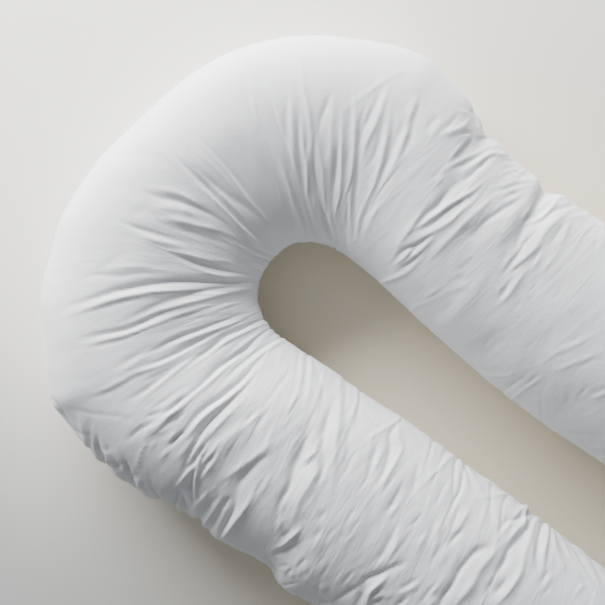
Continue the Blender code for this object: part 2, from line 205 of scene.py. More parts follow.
RIGHT_LEG_FOLDS: tuple[FoldRow, ...] = (
    (5.5, 3.2, ((520, 196), (513.5, 200), (506.5, 204), (500, 208.5), (493.5, 212.5), (486.5, 217),
        (481.5, 221), (476.5, 226))),
    (3.5, 7.0, ((484, 219), (476.5, 226), (471, 231), (465, 235), (460, 240))),
    (2.5, 5.0, ((468.5, 223.5), (463.5, 229), (456.5, 235))),
    (-2.5, 8.0, ((516.5, 204), (511.5, 207.5), (503.5, 213.5), (495, 219), (490, 228.5), (484, 235))),
    (-3.0, 11.0, ((512, 211), (507, 218.5), (501.5, 225), (495, 233.5), (491, 242.5))),
    (1.8, 2.0, ((494, 164), (497.5, 161), (502.5, 159), (507.5, 159))),
    (-1.8, 2.0, ((499, 157.5), (506.5, 156.5), (513.5, 158.5))),
    (2.5, 2.0, ((501, 168.5), (506.5, 166), (511.5, 166))),
    (-2.2, 2.0, ((501, 172.5), (506.5, 169.5), (512.5, 167.5), (517.5, 166))),
    (2.2, 1.8, ((501.5, 175), (506.5, 172.5), (511.5, 171))),
    (-2.2, 2.2, ((510, 178.5), (515, 174), (518.5, 171.5))),
    (2.5, 2.0, ((521, 173), (527, 175.5))),
    (-2.8, 2.2, ((493.5, 186), (500, 185), (506.5, 182.5), (512.5, 180.5), (520, 180), (526.5, 177.5),
        (535, 178.5))),
    (3.2, 2.0, ((490, 191.5), (495, 188.5), (501.5, 187.5), (508.5, 185), (513.5, 182.5), (520, 182),
        (526.5, 181.5))),
    (-2.6, 2.4, ((501.5, 192.5), (508.5, 190), (515, 187.5), (521.5, 185), (530, 183.5))),
    (3.2, 2.2, ((501, 197.5), (506, 194), (511.5, 191.5), (518.5, 189))),
    (-2.8, 2.2, ((502.5, 202.5), (508.5, 199), (514, 196.5), (518.5, 193.5))),
    (-4.0, 3.0, ((533.5, 197), (530, 202), (527.5, 207), (524, 212), (521.5, 216), (519, 221))),
    (5.5, 5.0, ((540, 192), (536, 200), (532, 208), (526, 214), (523.5, 219))),
    (-3.5, 1.5, ((531.5, 208), (536, 207), (541, 203), (546, 199), (550, 195.5), (557, 196))),
    (5.0, 5.5, ((549, 200), (544, 204.5), (538, 209.5), (530, 213.5), (524, 215.5))),
    (-4.0, 1.8, ((523, 221), (530, 219), (537, 217.5), (542, 214), (547, 209), (552, 204), (555, 200))),
    (6.5, 4.0, ((522, 228), (525, 225), (530, 223), (537, 221), (543, 217), (549, 211), (555, 207),
        (563, 205))),
    (6.5, 5.5, ((524, 216), (521, 224), (518, 231.5), (515.5, 238.5), (512.5, 245.5))),
    (-6.0, 6.5, ((565, 209), (558, 214), (551, 220), (544, 226.5), (539, 233), (534.5, 241), (528, 249),
        (521, 255.5), (515.5, 261), (510.5, 265))),
    (5.0, 3.5, ((534, 229), (528, 235.5), (522, 243), (518, 250), (513, 257.5), (507, 264.5), (503, 269))),
    (3.5, 2.5, ((519, 263), (516, 265.5), (511.5, 268.5), (509, 269.5))),
    (-2.2, 2.2, ((509, 255), (506, 260), (502.5, 266))),
    (2.0, 2.5, ((504, 252), (501.5, 257))),
    (3.0, 2.8, ((504, 268.5), (504.5, 275))),
    (-4.5, 5.0, ((525, 267.5), (520, 272.5), (515.5, 279), (510.5, 286), (505, 293), (499, 299),
        (496, 301.5))),
    (4.5, 2.8, ((509, 279), (504.5, 286.5), (500.5, 292.5), (497, 298.5))),
    (-2.0, 1.8, ((501, 284), (498.5, 287.5), (496.5, 291))),
    (3.0, 2.8, ((539, 246), (535, 253), (531, 259.5), (528.5, 262.5))),
    (-2.5, 3.2, ((539, 254), (535, 260), (531.5, 267))),
    (3.0, 3.0, ((564, 221), (560, 225), (556, 231), (552, 237), (549, 241))),
    (-2.8, 4.0, ((569, 220), (565, 227), (562, 235), (557, 242))),
    (-2.0, 3.0, ((556, 195.5), (565, 198), (572, 203), (580, 207))),
    (2.0, 2.2, ((568, 212), (576, 211), (581, 209))),
    (-2.2, 2.5, ((568, 216), (576, 214), (583, 213))),
    (2.6, 2.2, ((593, 225), (588, 230), (584, 234), (580, 239))),
    (-2.0, 3.0, ((589, 218), (595, 221))),
    (-2.0, 3.5, ((601, 226), (602, 236), (598, 246))),
    (2.0, 2.2, ((597, 238), (592, 247))),
    (-1.6, 4.0, ((554, 254), (545, 263), (540, 270))),
    (1.6, 4.0, ((563, 277), (558, 288), (552, 296))),
    (1.6, 4.5, ((534, 273), (532, 285), (526, 290))),
    (-1.5, 1.2, ((422.5, 295.5), (428.5, 292.5), (434, 289), (439, 287))),
    (-1.5, 1.2, ((422.5, 301.5), (428.5, 298.5), (434, 295.5), (440, 292.5))),
    (1.2, 1.4, ((424, 298.5), (431, 295), (438, 291))),
    (-1.8, 5.0, ((442, 291.5), (448.5, 287.5), (456.5, 285), (464, 281.5), (467.5, 278.5))),
    (1.8, 2.6, ((454, 266), (460, 266.5), (466.5, 266))),
    (1.6, 2.4, ((456.5, 277.5), (464, 276.5))),
    (1.5, 2.4, ((467.5, 283.5), (470, 279))),
    (1.5, 3.0, ((452, 301), (447, 305), (441, 309))),
    (-1.8, 2.2, ((461.5, 258.5), (466.5, 255.5), (471.5, 253.5))),
    (1.6, 1.8, ((519, 301), (515.5, 305), (512, 309))),
    (1.2, 3.0, ((489, 333), (485, 340), (481, 347))),
    (1.0, 2.2, ((519, 333), (517, 343))),
    (1.6, 1.6, ((530, 341), (525.5, 346.5))),
    (1.4, 2.2, ((579, 334), (570, 339), (560, 341))),
    (-2.0, 2.4, ((592, 333), (583, 338), (574, 342.5), (565, 346.5), (556, 350), (549, 355), (542, 360))),
    (1.4, 2.0, ((570, 350), (560, 353.5), (552, 355))),
    (-2.2, 2.2, ((604, 350), (592, 354), (581, 358), (572, 361), (564, 365), (556, 367.5), (546, 368.5))),
    (1.8, 1.6, ((596, 357), (586, 361), (576, 365.5))),
    (-1.6, 1.3, ((499, 374.5), (506, 374.5), (510.5, 371.5), (512.5, 366))),
    (1.4, 1.5, ((492, 368), (500, 367.5))),
    (3.0, 3.0, ((526, 370), (521, 376), (513, 381), (507, 385))),
    (2.4, 1.8, ((538, 373), (532, 377), (527, 381), (520, 385.5))),
    (-2.0, 1.6, ((539, 377), (532, 381.5), (524, 386.5), (516, 393))),
    (2.0, 1.8, ((543, 386), (540, 391), (539.5, 397), (540, 404))),
    (1.8, 1.8, ((587, 384), (582, 389.5), (577, 396))),
    (2.6, 2.0, ((605, 386), (598, 389), (590, 389.5))),
    (-2.0, 2.2, ((605, 391), (598, 394), (588, 397))),
    (1.2, 4.0, ((568, 386), (566, 397), (561, 404))),
    (1.8, 1.8, ((560, 429), (567, 431), (577, 432))),
    (-1.6, 1.4, ((574, 442), (583, 444.5), (593, 446))),
    (1.4, 1.4, ((594, 453), (605, 453.5))),
    (1.3, 1.6, ((600, 448.5), (589, 448))),
)
CROWN_FOLDS: tuple[FoldRow, ...] = (
    (2.8, 4.5, ((418.5, 96.5), (416, 107.5), (413.5, 115), (411, 122), (410, 129), (408.5, 137), (404.5, 146),
        (400, 156))),
    (-2.2, 6.0, ((416, 94), (408, 122), (398, 148), (388, 170), (378, 188))),
    (2.0, 5.0, ((402, 120), (394, 142), (385, 162), (377, 180))),
    (-3.0, 3.6, ((386, 88), (380, 108), (373, 126), (366, 140), (361, 156))),
    (2.8, 3.6, ((379, 92), (372, 108), (365, 123), (359, 140))),
    (2.2, 3.6, ((382, 118), (378, 140), (373, 156), (364, 168))),
    (-3.0, 3.6, ((388, 106), (385, 136), (380, 160), (375, 178), (368, 194), (361, 210))),
    (2.2, 4.0, ((393, 112), (390, 140), (386, 160), (379, 180), (371, 198))),
    (3.6, 3.8, ((368, 98), (361, 114), (358, 138), (357, 158), (355, 182), (353, 204), (352, 228))),
    (-3.0, 2.4, ((353.5, 92), (354, 117), (353.5, 146), (352, 163), (349, 181), (343.5, 197), (341, 210))),
    (1.8, 3.5, ((349, 98), (348, 128), (346, 158), (343, 184))),
    (-2.8, 2.2, ((350.5, 184), (349.5, 208), (350, 234))),
    (2.4, 2.0, ((346.5, 204), (345.5, 220), (346, 236))),
    (2.2, 2.0, ((341, 210), (342, 222), (345, 238))),
    (-2.0, 2.0, ((343.5, 206), (344, 222), (347, 238))),
    (5.0, 4.0, ((338, 138), (335, 158), (333, 176), (332, 192), (331, 206))),
    (-4.0, 3.2, ((341, 110), (340, 150), (339.5, 180), (338, 198), (334.5, 212), (334.5, 228))),
    (-2.8, 6.0, ((332, 98), (329, 128), (329, 158), (330, 182))),
    (2.8, 3.8, ((329, 94), (324, 107), (320, 118), (318, 132))),
    (6.0, 3.6, ((314, 138), (313, 154), (313, 170), (315, 184), (319, 200), (325, 222), (330, 238))),
    (-3.2, 2.8, ((316, 142), (320, 160), (322, 178), (323, 196), (325, 212))),
    (-4.2, 3.2, ((300.5, 122), (302.5, 148), (305.5, 162), (306, 180), (306, 194), (310, 208), (314, 224),
        (319, 238))),
    (-3.4, 3.2, ((299, 62), (302, 84), (305.5, 102), (309, 122), (310.5, 138), (308, 155))),
    (1.8, 2.4, ((305, 126), (306, 140), (305, 156))),
    (4.0, 3.8, ((298, 100), (297, 125), (297.5, 150), (300, 172), (304, 190), (309, 208), (315, 228))),
    (-2.4, 4.0, ((290, 90), (290.5, 118), (291.5, 140), (294.5, 160), (298, 176))),
    (2.2, 4.0, ((285, 102), (285, 130), (288, 150), (293, 172))),
    (-2.4, 3.0, ((271, 93), (278, 116), (286, 137), (292, 157), (297, 176), (301, 190))),
    (2.2, 3.2, ((270, 98), (276, 120), (283, 138), (290, 158))),
    (2.8, 4.0, ((244, 84), (249, 106), (258, 130), (267, 148), (275, 164), (281, 180))),
    (-3.0, 4.0, ((271, 140), (280, 161), (286, 178), (291, 196), (297, 212), (302, 230))),
    (2.4, 3.5, ((285, 166), (291, 184), (297, 202), (304, 220), (309, 236))),
    (-1.6, 3.0, ((251, 90), (254, 110), (259, 126))),
    (-2.4, 1.8, ((328, 202), (330, 220), (334, 238))),
    (2.4, 1.8, ((324, 206), (327, 224), (332, 241))),
    (-1.8, 1.8, ((318, 206), (322, 224), (328, 241))),
    (1.8, 1.8, ((309, 212), (314, 228), (321, 241))),
    (-1.8, 1.8, ((303, 206), (308, 222), (315, 240))),
    (1.8, 2.0, ((356, 212), (354, 226), (353, 240))),
    (-1.8, 2.2, ((362, 204), (358, 220), (356, 238))),
    (1.8, 2.4, ((370, 202), (363, 218), (359, 236))),
    (-1.5, 2.4, ((378, 204), (370, 220), (364, 236))),
    (1.6, 2.2, ((398, 168), (388, 180), (376, 198), (368, 214))),
    (-1.7, 2.0, ((333, 118.5), (343, 111), (350, 104.5), (356, 100), (362, 95.5), (370, 90), (380, 82.5),
        (388, 77.5), (398, 73), (408, 69.5), (420, 66.5))),
    (1.6, 1.8, ((452, 86), (465, 100), (477, 119))),
)
BEND_FOLDS: tuple[FoldRow, ...] = (
    (-2.2, 2.2, ((186, 128), (202, 144), (212, 154), (226, 169), (246, 197), (258, 211), (273, 225),
        (292, 240))),
    (2.2, 2.6, ((196, 136), (210, 149), (224, 163), (240, 182), (254, 200), (270, 216))),
    (-1.4, 2.0, ((196, 150), (210, 162), (224, 176), (236, 190))),
    (5.0, 7.0, ((193, 163), (207, 176), (221, 187), (234, 196), (252, 207), (268, 219))),
    (-3.0, 2.4, ((195, 167), (213, 186), (229, 202), (242, 214))),
    (6.5, 3.8, ((175, 155), (187, 166), (198, 177), (210, 188), (222, 201), (235, 215), (248, 227),
        (264, 240))),
    (-3.5, 3.2, ((192, 184), (205, 190), (214, 198), (226, 209), (238, 222), (252, 236), (268, 248),
        (281, 254))),
    (5.5, 4.0, ((148, 192), (160, 196), (174, 198), (187, 202), (202, 208), (217, 216), (230, 225))),
    (-2.4, 2.6, ((150, 188), (165, 189), (180, 193), (195, 201), (206, 208))),
    (-2.4, 5.0, ((160, 205), (178, 207), (196, 212))),
    (-4.0, 4.5, ((158, 217), (180, 219), (196, 223), (210, 226), (227, 231))),
    (2.5, 5.0, ((170, 225), (190, 230), (212, 237), (230, 243))),
    (3.2, 3.0, ((121, 221), (135, 226), (148, 230), (163, 235), (181, 240))),
    (-2.8, 4.5, ((140, 235), (164, 240), (184, 245))),
    (1.4, 3.0, ((134, 214), (142, 208), (150, 204))),
    (-2.8, 3.6, ((166, 249), (182, 251), (196, 255), (212, 259), (230, 260))),
    (4.4, 3.6, ((176, 254), (192, 260), (206, 265), (222, 269), (242, 272))),
    (-2.8, 3.6, ((188, 264), (204, 270), (220, 274), (242, 276))),
    (1.8, 2.2, ((236, 247), (250, 253), (264, 258))),
    (1.8, 2.2, ((228, 237), (246, 244), (266, 252))),
    (-1.6, 2.2, ((232, 242), (248, 249), (264, 255))),
    (-1.6, 2.2, ((240, 258), (252, 261), (262, 264))),
    (1.6, 2.2, ((236, 262), (250, 265), (260, 269))),
    (2.4, 2.6, ((80, 280), (90, 275), (104, 274), (118, 275), (132, 273), (146, 272), (160, 273))),
    (-1.8, 3.0, ((108, 268), (124, 266), (140, 265), (156, 267))),
    (1.6, 2.4, ((100, 268), (112, 260), (124, 252))),
    (8.0, 4.4, ((58, 311), (70, 304), (86, 299), (101, 294), (116, 289), (131, 286), (146, 283), (160, 281),
        (174, 280), (190, 280), (208, 281), (230, 281), (255, 279))),
    (-4.2, 3.6, ((62, 316), (78, 310), (92, 305), (106, 300), (120, 296), (134, 293), (152, 290), (172, 289),
        (190, 288), (212, 287))),
    (2.4, 2.6, ((80, 313), (94, 309), (108, 305), (122, 301), (136, 298), (150, 296))),
    (5.2, 3.8, ((118, 321), (132, 316), (146, 309), (158, 303), (170, 299), (184, 294), (200, 290),
        (218, 287), (242, 284))),
    (-3.4, 3.6, ((130, 322), (146, 315), (160, 309), (174, 305), (192, 300), (212, 295), (232, 290),
        (252, 287))),
    (6.2, 3.6, ((80, 338), (96, 334), (112, 331), (128, 327), (142, 321), (154, 315), (166, 310),
        (182, 305))),
    (-3.4, 3.2, ((84, 343), (100, 339), (114, 336), (130, 332), (144, 326), (160, 320), (176, 314),
        (192, 309), (210, 304))),
    (2.2, 2.6, ((104, 343), (122, 338), (136, 332), (150, 325))),
    (1.6, 2.4, ((90, 347), (104, 343), (118, 340))),
    (1.8, 2.6, ((170, 320), (188, 314), (206, 308), (224, 302))),
    (-1.6, 2.6, ((206, 314), (222, 307), (240, 300))),
    (5.2, 3.6, ((144, 354), (156, 348), (168, 341), (182, 335), (196, 330), (210, 324), (224, 319),
        (240, 313))),
    (-2.8, 3.2, ((174, 344), (192, 336), (206, 331), (220, 326), (238, 320))),
    (5.8, 3.6, ((144, 364), (158, 360), (170, 355), (182, 349), (194, 342), (204, 337), (216, 330))),
    (-2.8, 2.8, ((118, 379), (134, 372), (148, 368), (162, 363), (176, 356), (190, 348), (204, 341),
        (220, 332))),
    (6.4, 3.8, ((182, 368), (194, 359), (206, 350), (216, 342), (226, 334), (238, 329), (250, 323),
        (262, 318))),
    (-3.2, 3.4, ((190, 366), (204, 356), (216, 347), (228, 339), (242, 332), (258, 325))),
    (3.0, 3.0, ((128, 399), (145, 389), (158, 379), (172, 369), (186, 358))),
    (-2.0, 2.6, ((140, 398), (158, 384), (176, 369), (190, 359))),
    (2.2, 2.6, ((146, 380), (160, 373), (174, 365))),
    (1.8, 3.0, ((90, 397), (110, 390), (126, 381), (144, 372))),
    (-1.6, 2.6, ((96, 392), (114, 384), (132, 376))),
    (1.6, 2.6, ((116, 367), (132, 357), (148, 347))),
    (-1.4, 2.6, ((120, 372), (136, 361), (150, 352))),
    (6.2, 3.6, ((165, 412), (178, 402), (190, 392), (202, 382), (214, 370), (224, 362), (234, 355),
        (245, 348), (255, 338), (266, 330))),
    (-3.4, 3.2, ((170, 413), (184, 402), (198, 390), (212, 378), (226, 366), (240, 356))),
    (3.6, 3.2, ((226, 377), (236, 367), (246, 358), (255, 351), (264, 345), (274, 339))),
    (-2.8, 2.8, ((230, 380), (244, 367), (256, 357), (268, 348), (278, 342))),
    (-2.0, 2.4, ((250, 344), (258, 337), (268, 331))),
    (7.4, 4.2, ((171, 441), (180, 433), (188, 424), (196, 414), (207, 404), (218, 397), (228, 389),
        (237, 382), (245, 374), (252, 365), (260, 356))),
    (-3.8, 3.6, ((180, 442), (190, 431), (200, 418), (213, 407), (225, 399), (237, 389), (247, 379),
        (258, 367))),
    (2.0, 2.6, ((146, 410), (158, 404), (170, 396), (180, 388))),
    (2.0, 3.0, ((150, 424), (162, 419), (174, 411))),
    (-2.6, 3.0, ((138, 444), (146, 432), (158, 420), (172, 410))),
    (1.8, 2.6, ((128, 440), (136, 431), (148, 423))),
    (1.6, 2.0, ((72, 409.6), (80, 410), (84.5, 411), (90.5, 412.5), (99.5, 413.7), (111, 414.6), (121, 416),
        (126, 418), (136, 419.6))),
)
LEFT_LEG_FOLDS: tuple[FoldRow, ...] = (
    (8.0, 3.4, ((256, 372), (249, 380), (240, 389), (230, 398), (220, 408), (210, 418), (203.5, 425),
        (198.5, 432.5), (194, 440), (190, 447.5), (186.5, 454), (183.5, 462.5), (181, 470), (178.5, 476.5),
        (176, 483.5))),
    (-3.4, 3.8, ((243, 396), (231, 408), (219, 420), (209, 431), (200, 442))),
    (6.5, 3.0, ((202.5, 444), (198.5, 450), (194, 456), (191, 461), (187.5, 464), (184, 468.5))),
    (-3.0, 2.4, ((210, 425), (201.5, 436), (196.5, 444), (192.5, 451), (189, 457.5))),
    (-5.5, 1.8, ((194, 463.5), (190, 467.5), (185, 472.5), (181, 477.5), (177.5, 482.5), (173.5, 488.5))),
    (-6.5, 2.0, ((205, 445), (201, 451), (197.5, 457.5), (196, 464), (195, 471.5), (193.5, 479), (193, 487.5),
        (193.5, 496), (193.5, 505))),
    (7.0, 3.2, ((192.5, 468.5), (190, 475), (188.5, 481.5), (189, 490), (191, 498.5), (191.5, 505))),
    (5.0, 3.2, ((176, 488.5), (174, 496.5), (172.5, 504))),
    (6.0, 3.5, ((180, 497), (181, 504), (185, 510), (190, 515))),
    (-3.0, 2.2, ((219, 436.5), (215, 443.5), (211.5, 449), (207.5, 453.5), (204, 458.5), (201, 462.5))),
    (4.5, 2.2, ((215, 450), (210, 456), (205, 462.5), (201, 470), (198.5, 474))),
    (2.6, 1.8, ((205, 452.5), (201.5, 456.5))),
    (-3.0, 2.2, ((211.5, 460), (206.5, 466.5), (202.5, 473.5), (198.5, 478.5))),
    (-4.0, 3.5, ((205, 491), (201.5, 496), (197.5, 500), (194, 504))),
    (-1.8, 1.4, ((213.5, 485), (211, 491.5))),
    (9.0, 6.5, ((212, 497), (206, 501.5), (201, 507), (197.5, 513.5), (195, 519))),
    (-5.0, 4.0, ((217, 499), (213, 506), (209.5, 511), (206, 516.5), (202.5, 521.5))),
    (4.5, 4.5, ((219, 508.5), (215, 513.5), (211, 519), (207.5, 524))),
    (8.0, 4.0, ((230, 491), (231.5, 499), (231, 507), (227, 515), (223.5, 521.5), (220, 528.5),
        (218.5, 533.5))),
    (5.0, 4.0, ((226.5, 496), (222.5, 501.5), (220, 507.5))),
    (-2.0, 2.2, ((226.5, 500), (223.5, 510), (219, 519), (215, 527.5))),
    (-5.0, 4.5, ((249, 491.5), (246.5, 500), (242, 507), (237.5, 513.5), (233, 519), (228.5, 525),
        (224, 530.5), (219, 535.5), (216.5, 538.5))),
    (5.5, 5.5, ((265, 453.5), (256.5, 458.5), (251.5, 464), (246.5, 468.5), (241.5, 474), (237.5, 479),
        (235, 485), (234, 491.5), (235, 496.5))),
    (-4.0, 6.0, ((268.5, 432.5), (265, 441.5), (258.5, 448.5), (251.5, 454), (245, 458.5), (238.5, 464),
        (228.5, 471), (221.5, 476.5))),
    (-2.6, 5.5, ((267.5, 473.5), (262.5, 483.5), (258.5, 491))),
    (2.0, 2.0, ((262.5, 476.5), (258.5, 484), (254, 491.5))),
    (2.4, 2.0, ((186, 426.5), (181.5, 431.5), (176.5, 435), (172.5, 438.5))),
    (1.5, 1.2, ((239, 433.5), (233.5, 440), (228.5, 447.5), (224, 456.5))),
    (-1.5, 1.2, ((235, 436), (230, 442.5), (225, 450), (221.5, 458.5))),
    (1.8, 2.8, ((210, 435), (205, 441))),
    (-2.0, 2.8, ((192.5, 436), (186, 444), (180, 451.5), (173.5, 458.5))),
    (1.8, 1.8, ((259, 405), (247, 417), (239, 424))),
    (-1.6, 1.8, ((263, 408), (249, 420), (240, 428))),
    (1.8, 3.0, ((271, 404), (263, 414), (254, 426))),
    (2.4, 2.8, ((288, 362), (286, 371), (279, 381), (272, 391), (265, 400))),
    (2.6, 2.8, ((297, 359), (295, 370), (292, 383))),
    (2.8, 2.8, ((305, 365), (304, 378), (302, 390), (300, 404))),
    (-2.4, 2.6, ((299, 362), (299, 374), (296, 388), (291, 402))),
    (-2.0, 2.6, ((309, 368), (308, 384), (305, 400))),
    (1.8, 2.4, ((313, 362), (316, 370), (318, 378))),
    (1.8, 2.6, ((322, 384), (321, 396), (318, 410))),
    (6.0, 4.5, ((334, 394), (331, 401), (327.5, 409), (325, 416), (323.5, 421.5), (322, 428.5), (321, 438.5),
        (319, 448.5), (320, 457.5), (320, 465), (318.5, 473.5), (316, 480), (317, 490), (318, 500))),
    (-4.5, 5.5, ((336.5, 393), (336.5, 406), (335, 418.5), (334, 431), (332, 443.5), (331.5, 460),
        (331, 472.5), (328.5, 485), (326.5, 500))),
    (1.8, 2.6, ((344, 396), (343.5, 410), (344, 418))),
    (-2.8, 3.2, ((354, 394), (354, 401.5), (351, 410), (348.5, 416.5), (346, 425))),
    (2.6, 2.2, ((358.5, 393), (357.5, 401.5), (356, 410), (355, 418.5), (355, 426.5))),
    (2.6, 2.6, ((350, 424), (346.5, 431.5), (346, 439), (346.5, 448.5), (345, 454), (343.5, 458.5))),
    (2.2, 2.6, ((354, 450), (348.5, 460), (345, 468.5), (341.5, 475))),
    (-2.0, 2.6, ((342.5, 445), (341, 455), (336.5, 464))),
    (3.2, 3.6, ((377.5, 439), (373.5, 446), (371.5, 453.5), (369, 461.5), (367.5, 470), (366, 476.5),
        (360, 484), (356.5, 489))),
    (-2.2, 3.2, ((381.5, 443.5), (377.5, 451.5), (375, 460), (372.5, 470))),
    (-1.8, 3.2, ((371.5, 430), (368.5, 438.5), (367.5, 448.5))),
    (3.8, 3.6, ((392.5, 426), (388.5, 431.5), (387.5, 438.5), (388.5, 446.5), (386.5, 455), (384, 464),
        (381, 472.5), (376.5, 479), (371.5, 486))),
    (-3.6, 3.8, ((396, 426.5), (396, 435), (399, 443.5), (396.5, 453.5), (392.5, 461.5), (386.5, 471),
        (381, 481), (375, 488.5), (369, 496.5))),
    (-2.4, 1.8, ((396.5, 418.5), (388.5, 423.5))),
    (2.6, 3.6, ((416.5, 460), (415, 468.5), (413.5, 476.5), (412, 484), (407.5, 496))),
    (3.0, 4.0, ((400, 481), (396.5, 490), (391.5, 498), (387.5, 505.5), (384, 514))),
    (2.0, 2.6, ((394, 472.5), (388.5, 481), (385, 486.5), (379, 493.5))),
    (7.0, 5.0, ((309, 429), (306, 434), (301.5, 441.5), (297.5, 450), (294, 457.5), (291, 464), (289, 471),
        (287.5, 478.5), (285, 487), (281.5, 493), (277.5, 500), (275, 508.5), (274, 515), (272.5, 524))),
    (-3.2, 3.4, ((314, 443.5), (312.5, 451), (307.5, 454), (303.5, 457.5), (300, 461.5))),
    (2.8, 2.8, ((311.5, 459), (307.5, 462.5), (303.5, 465), (299, 469))),
    (-5.0, 8.5, ((313.5, 463.5), (312.5, 470), (309, 475), (304, 484), (299, 490), (294, 500), (292, 509),
        (289.5, 517))),
    (-1.6, 1.2, ((298.5, 434), (295, 438.5), (290, 446.5), (286.5, 455))),
    (2.0, 2.0, ((299, 396.5), (294, 401.5), (290, 409), (286.5, 416))),
    (-2.2, 3.2, ((295, 389), (291.5, 399), (288.5, 406), (285, 412.5))),
    (1.8, 2.0, ((314, 406), (311.5, 411.5), (308.5, 418.5), (305, 425))),
    (1.8, 1.8, ((355, 521), (351, 528), (348, 532.5), (344, 536.5))),
    (1.4, 1.2, ((355, 504), (350.5, 511), (347.5, 517.5), (346, 520.5))),
    (1.8, 1.3, ((332, 556), (328, 560.5), (325, 566.5), (321, 572.5), (317.5, 579), (316.5, 585))),
    (1.6, 1.4, ((330.5, 528), (327.5, 533.5), (325, 538))),
    (2.0, 4.0, ((320.5, 509), (319, 513.5), (315, 518))),
    (1.8, 3.0, ((319, 527.5), (314, 533.5), (311, 539.5))),
    (2.0, 3.2, ((326, 545), (321, 552), (318, 558), (314, 563.5))),
    (-1.8, 3.6, ((319, 532), (316, 539.5), (310.5, 549))),
    (-6.5, 4.0, ((299, 524), (296, 529), (291, 533.5), (285, 539), (280.5, 542.5), (275, 545))),
    (2.8, 2.6, ((289, 529), (283.5, 532.5), (279, 536.5))),
    (7.0, 3.6, ((297, 541), (293.5, 543.5), (288, 545), (282.5, 548), (277.5, 550.5), (273.5, 552.5))),
    (2.2, 2.2, ((284, 505), (282.5, 512), (282.5, 518))),
    (-2.0, 2.2, ((279, 517.5), (278, 523.5), (276, 531))),
    (3.2, 2.6, ((302, 557.5), (299, 562), (295, 566))),
    (3.4, 2.0, ((287.5, 564.5), (282, 564.5), (276.5, 566))),
    (2.6, 2.0, ((290.5, 566), (287.5, 569.5), (284, 574), (281, 578))),
    (5.5, 4.0, ((266, 557), (268, 563), (270, 569), (273.5, 579))),
    (2.6, 2.0, ((296, 582.5), (290.5, 584), (283.5, 585))),
    (3.0, 2.0, ((285, 590.5), (289.5, 595.5), (296, 597))),
    (-2.0, 1.6, ((298, 569), (296.5, 576))),
    (-2.0, 2.0, ((289.5, 572.5), (289.5, 578))),
    (-2.4, 5.0, ((303.5, 560.5), (302, 572))),
    (3.0, 4.5, ((306, 589.5), (312.5, 593.5), (314, 601))),
    (2.2, 1.8, ((316, 586), (315, 595))),
    (4.0, 4.0, ((318, 601), (323, 603), (328, 604))),
    (-2.2, 5.0, ((319, 583.5), (320.5, 592))),
    (1.4, 1.6, ((349.5, 571), (345, 576.5), (342, 582))),
    (-1.4, 2.0, ((356, 569.5), (349.5, 576.5), (344, 583.5))),
    (7.5, 5.5, ((487.5, 543.5), (480, 546.5), (473.5, 548.5), (470, 552.5), (463.5, 560), (458.5, 566),
        (455, 572.5), (452, 580))),
    (7.5, 4.0, ((455, 572.5), (451.5, 580), (446.5, 587.5), (441.5, 594), (438.5, 601), (435, 607))),
    (-6.0, 9.0, ((491.5, 547), (486.5, 553.5), (480, 560), (474, 568.5), (468.5, 578.5), (463.5, 586.5),
        (457.5, 594), (451, 602))),
    (7.5, 5.5, ((521.5, 529), (516.5, 536), (510, 543.5), (505, 549), (503, 556.5), (499, 564), (495, 570),
        (491, 577.5))),
    (4.5, 6.5, ((503, 578), (496.5, 586), (491, 592))),
    (4.0, 5.0, ((490.5, 578), (488, 584), (486, 593), (485, 601))),
    (-6.0, 6.5, ((525.5, 535), (523.5, 541.5), (521.5, 548), (518.5, 563), (515, 573.5), (510, 581.5),
        (505, 589), (498.5, 596), (491.5, 603.5))),
    (-3.5, 4.0, ((521, 505), (516.5, 509.5), (513, 514))),
    (-4.5, 4.0, ((521.5, 516), (520.5, 522), (515, 527), (510, 533.5), (505, 539))),
    (4.5, 4.0, ((520, 514), (513.5, 516.5), (506.5, 518.5), (502, 522), (499, 527.5), (497.5, 533.5))),
    (-2.0, 5.0, ((494, 508), (495, 525), (494, 541.5), (491.5, 552))),
    (3.8, 2.4, ((461, 475), (460, 483), (457.5, 491), (453, 499), (450, 507), (446, 514), (443, 521))),
    (3.4, 2.4, ((459, 503), (455.5, 512.5), (452, 520), (450, 530))),
    (-3.0, 4.0, ((466, 509), (461.5, 516.5), (457.5, 523.5), (453, 529))),
    (4.0, 4.0, ((461, 527.5), (455, 533), (451, 537.5), (448, 543))),
    (-2.5, 5.0, ((441.5, 514), (438.5, 521.5), (435, 530), (433, 539), (431.5, 547), (431, 553.5))),
    (2.4, 3.0, ((433.5, 517), (431, 524), (428.5, 531.5), (426, 540))),
    (1.8, 1.2, ((444, 540), (440, 544), (436.5, 548.5), (433.5, 553.5), (430, 561.5), (429, 569))),
    (-2.0, 3.0, ((423.5, 532.5), (420, 538.5), (417.5, 545), (416, 551))),
    (2.0, 2.2, ((421, 512), (416, 518), (410, 523), (405, 527))),
    (1.8, 2.0, ((421, 531.5), (418.5, 536.5))),
    (-2.0, 5.0, ((444, 547.5), (441.5, 554), (438.5, 561.5))),
    (1.6, 1.6, ((414, 502), (409, 508))),
    (3.4, 5.5, ((392.5, 526.5), (389, 534), (386.5, 540), (382.5, 548), (379, 553.5), (375, 559))),
    (-2.4, 4.0, ((396.5, 526.5), (396, 535), (393.5, 543.5), (389, 552.5), (383.5, 558.5))),
    (7.5, 5.0, ((401, 561), (395, 563), (389, 565.5), (382, 569), (376, 572), (368, 575), (362, 578),
        (358.5, 583))),
    (6.0, 6.0, ((363, 577), (360, 582), (361, 587), (357.5, 595), (353, 603))),
    (4.5, 4.5, ((356, 585), (349.5, 587.5), (343.5, 592), (338.5, 595), (334, 598), (331, 601.5))),
    (-7.0, 4.2, ((382.5, 576.5), (377.5, 581), (372.5, 585), (368, 589), (366, 595), (363, 603))),
    (3.2, 2.2, ((380.5, 586.5), (376, 589.5), (372, 594))),
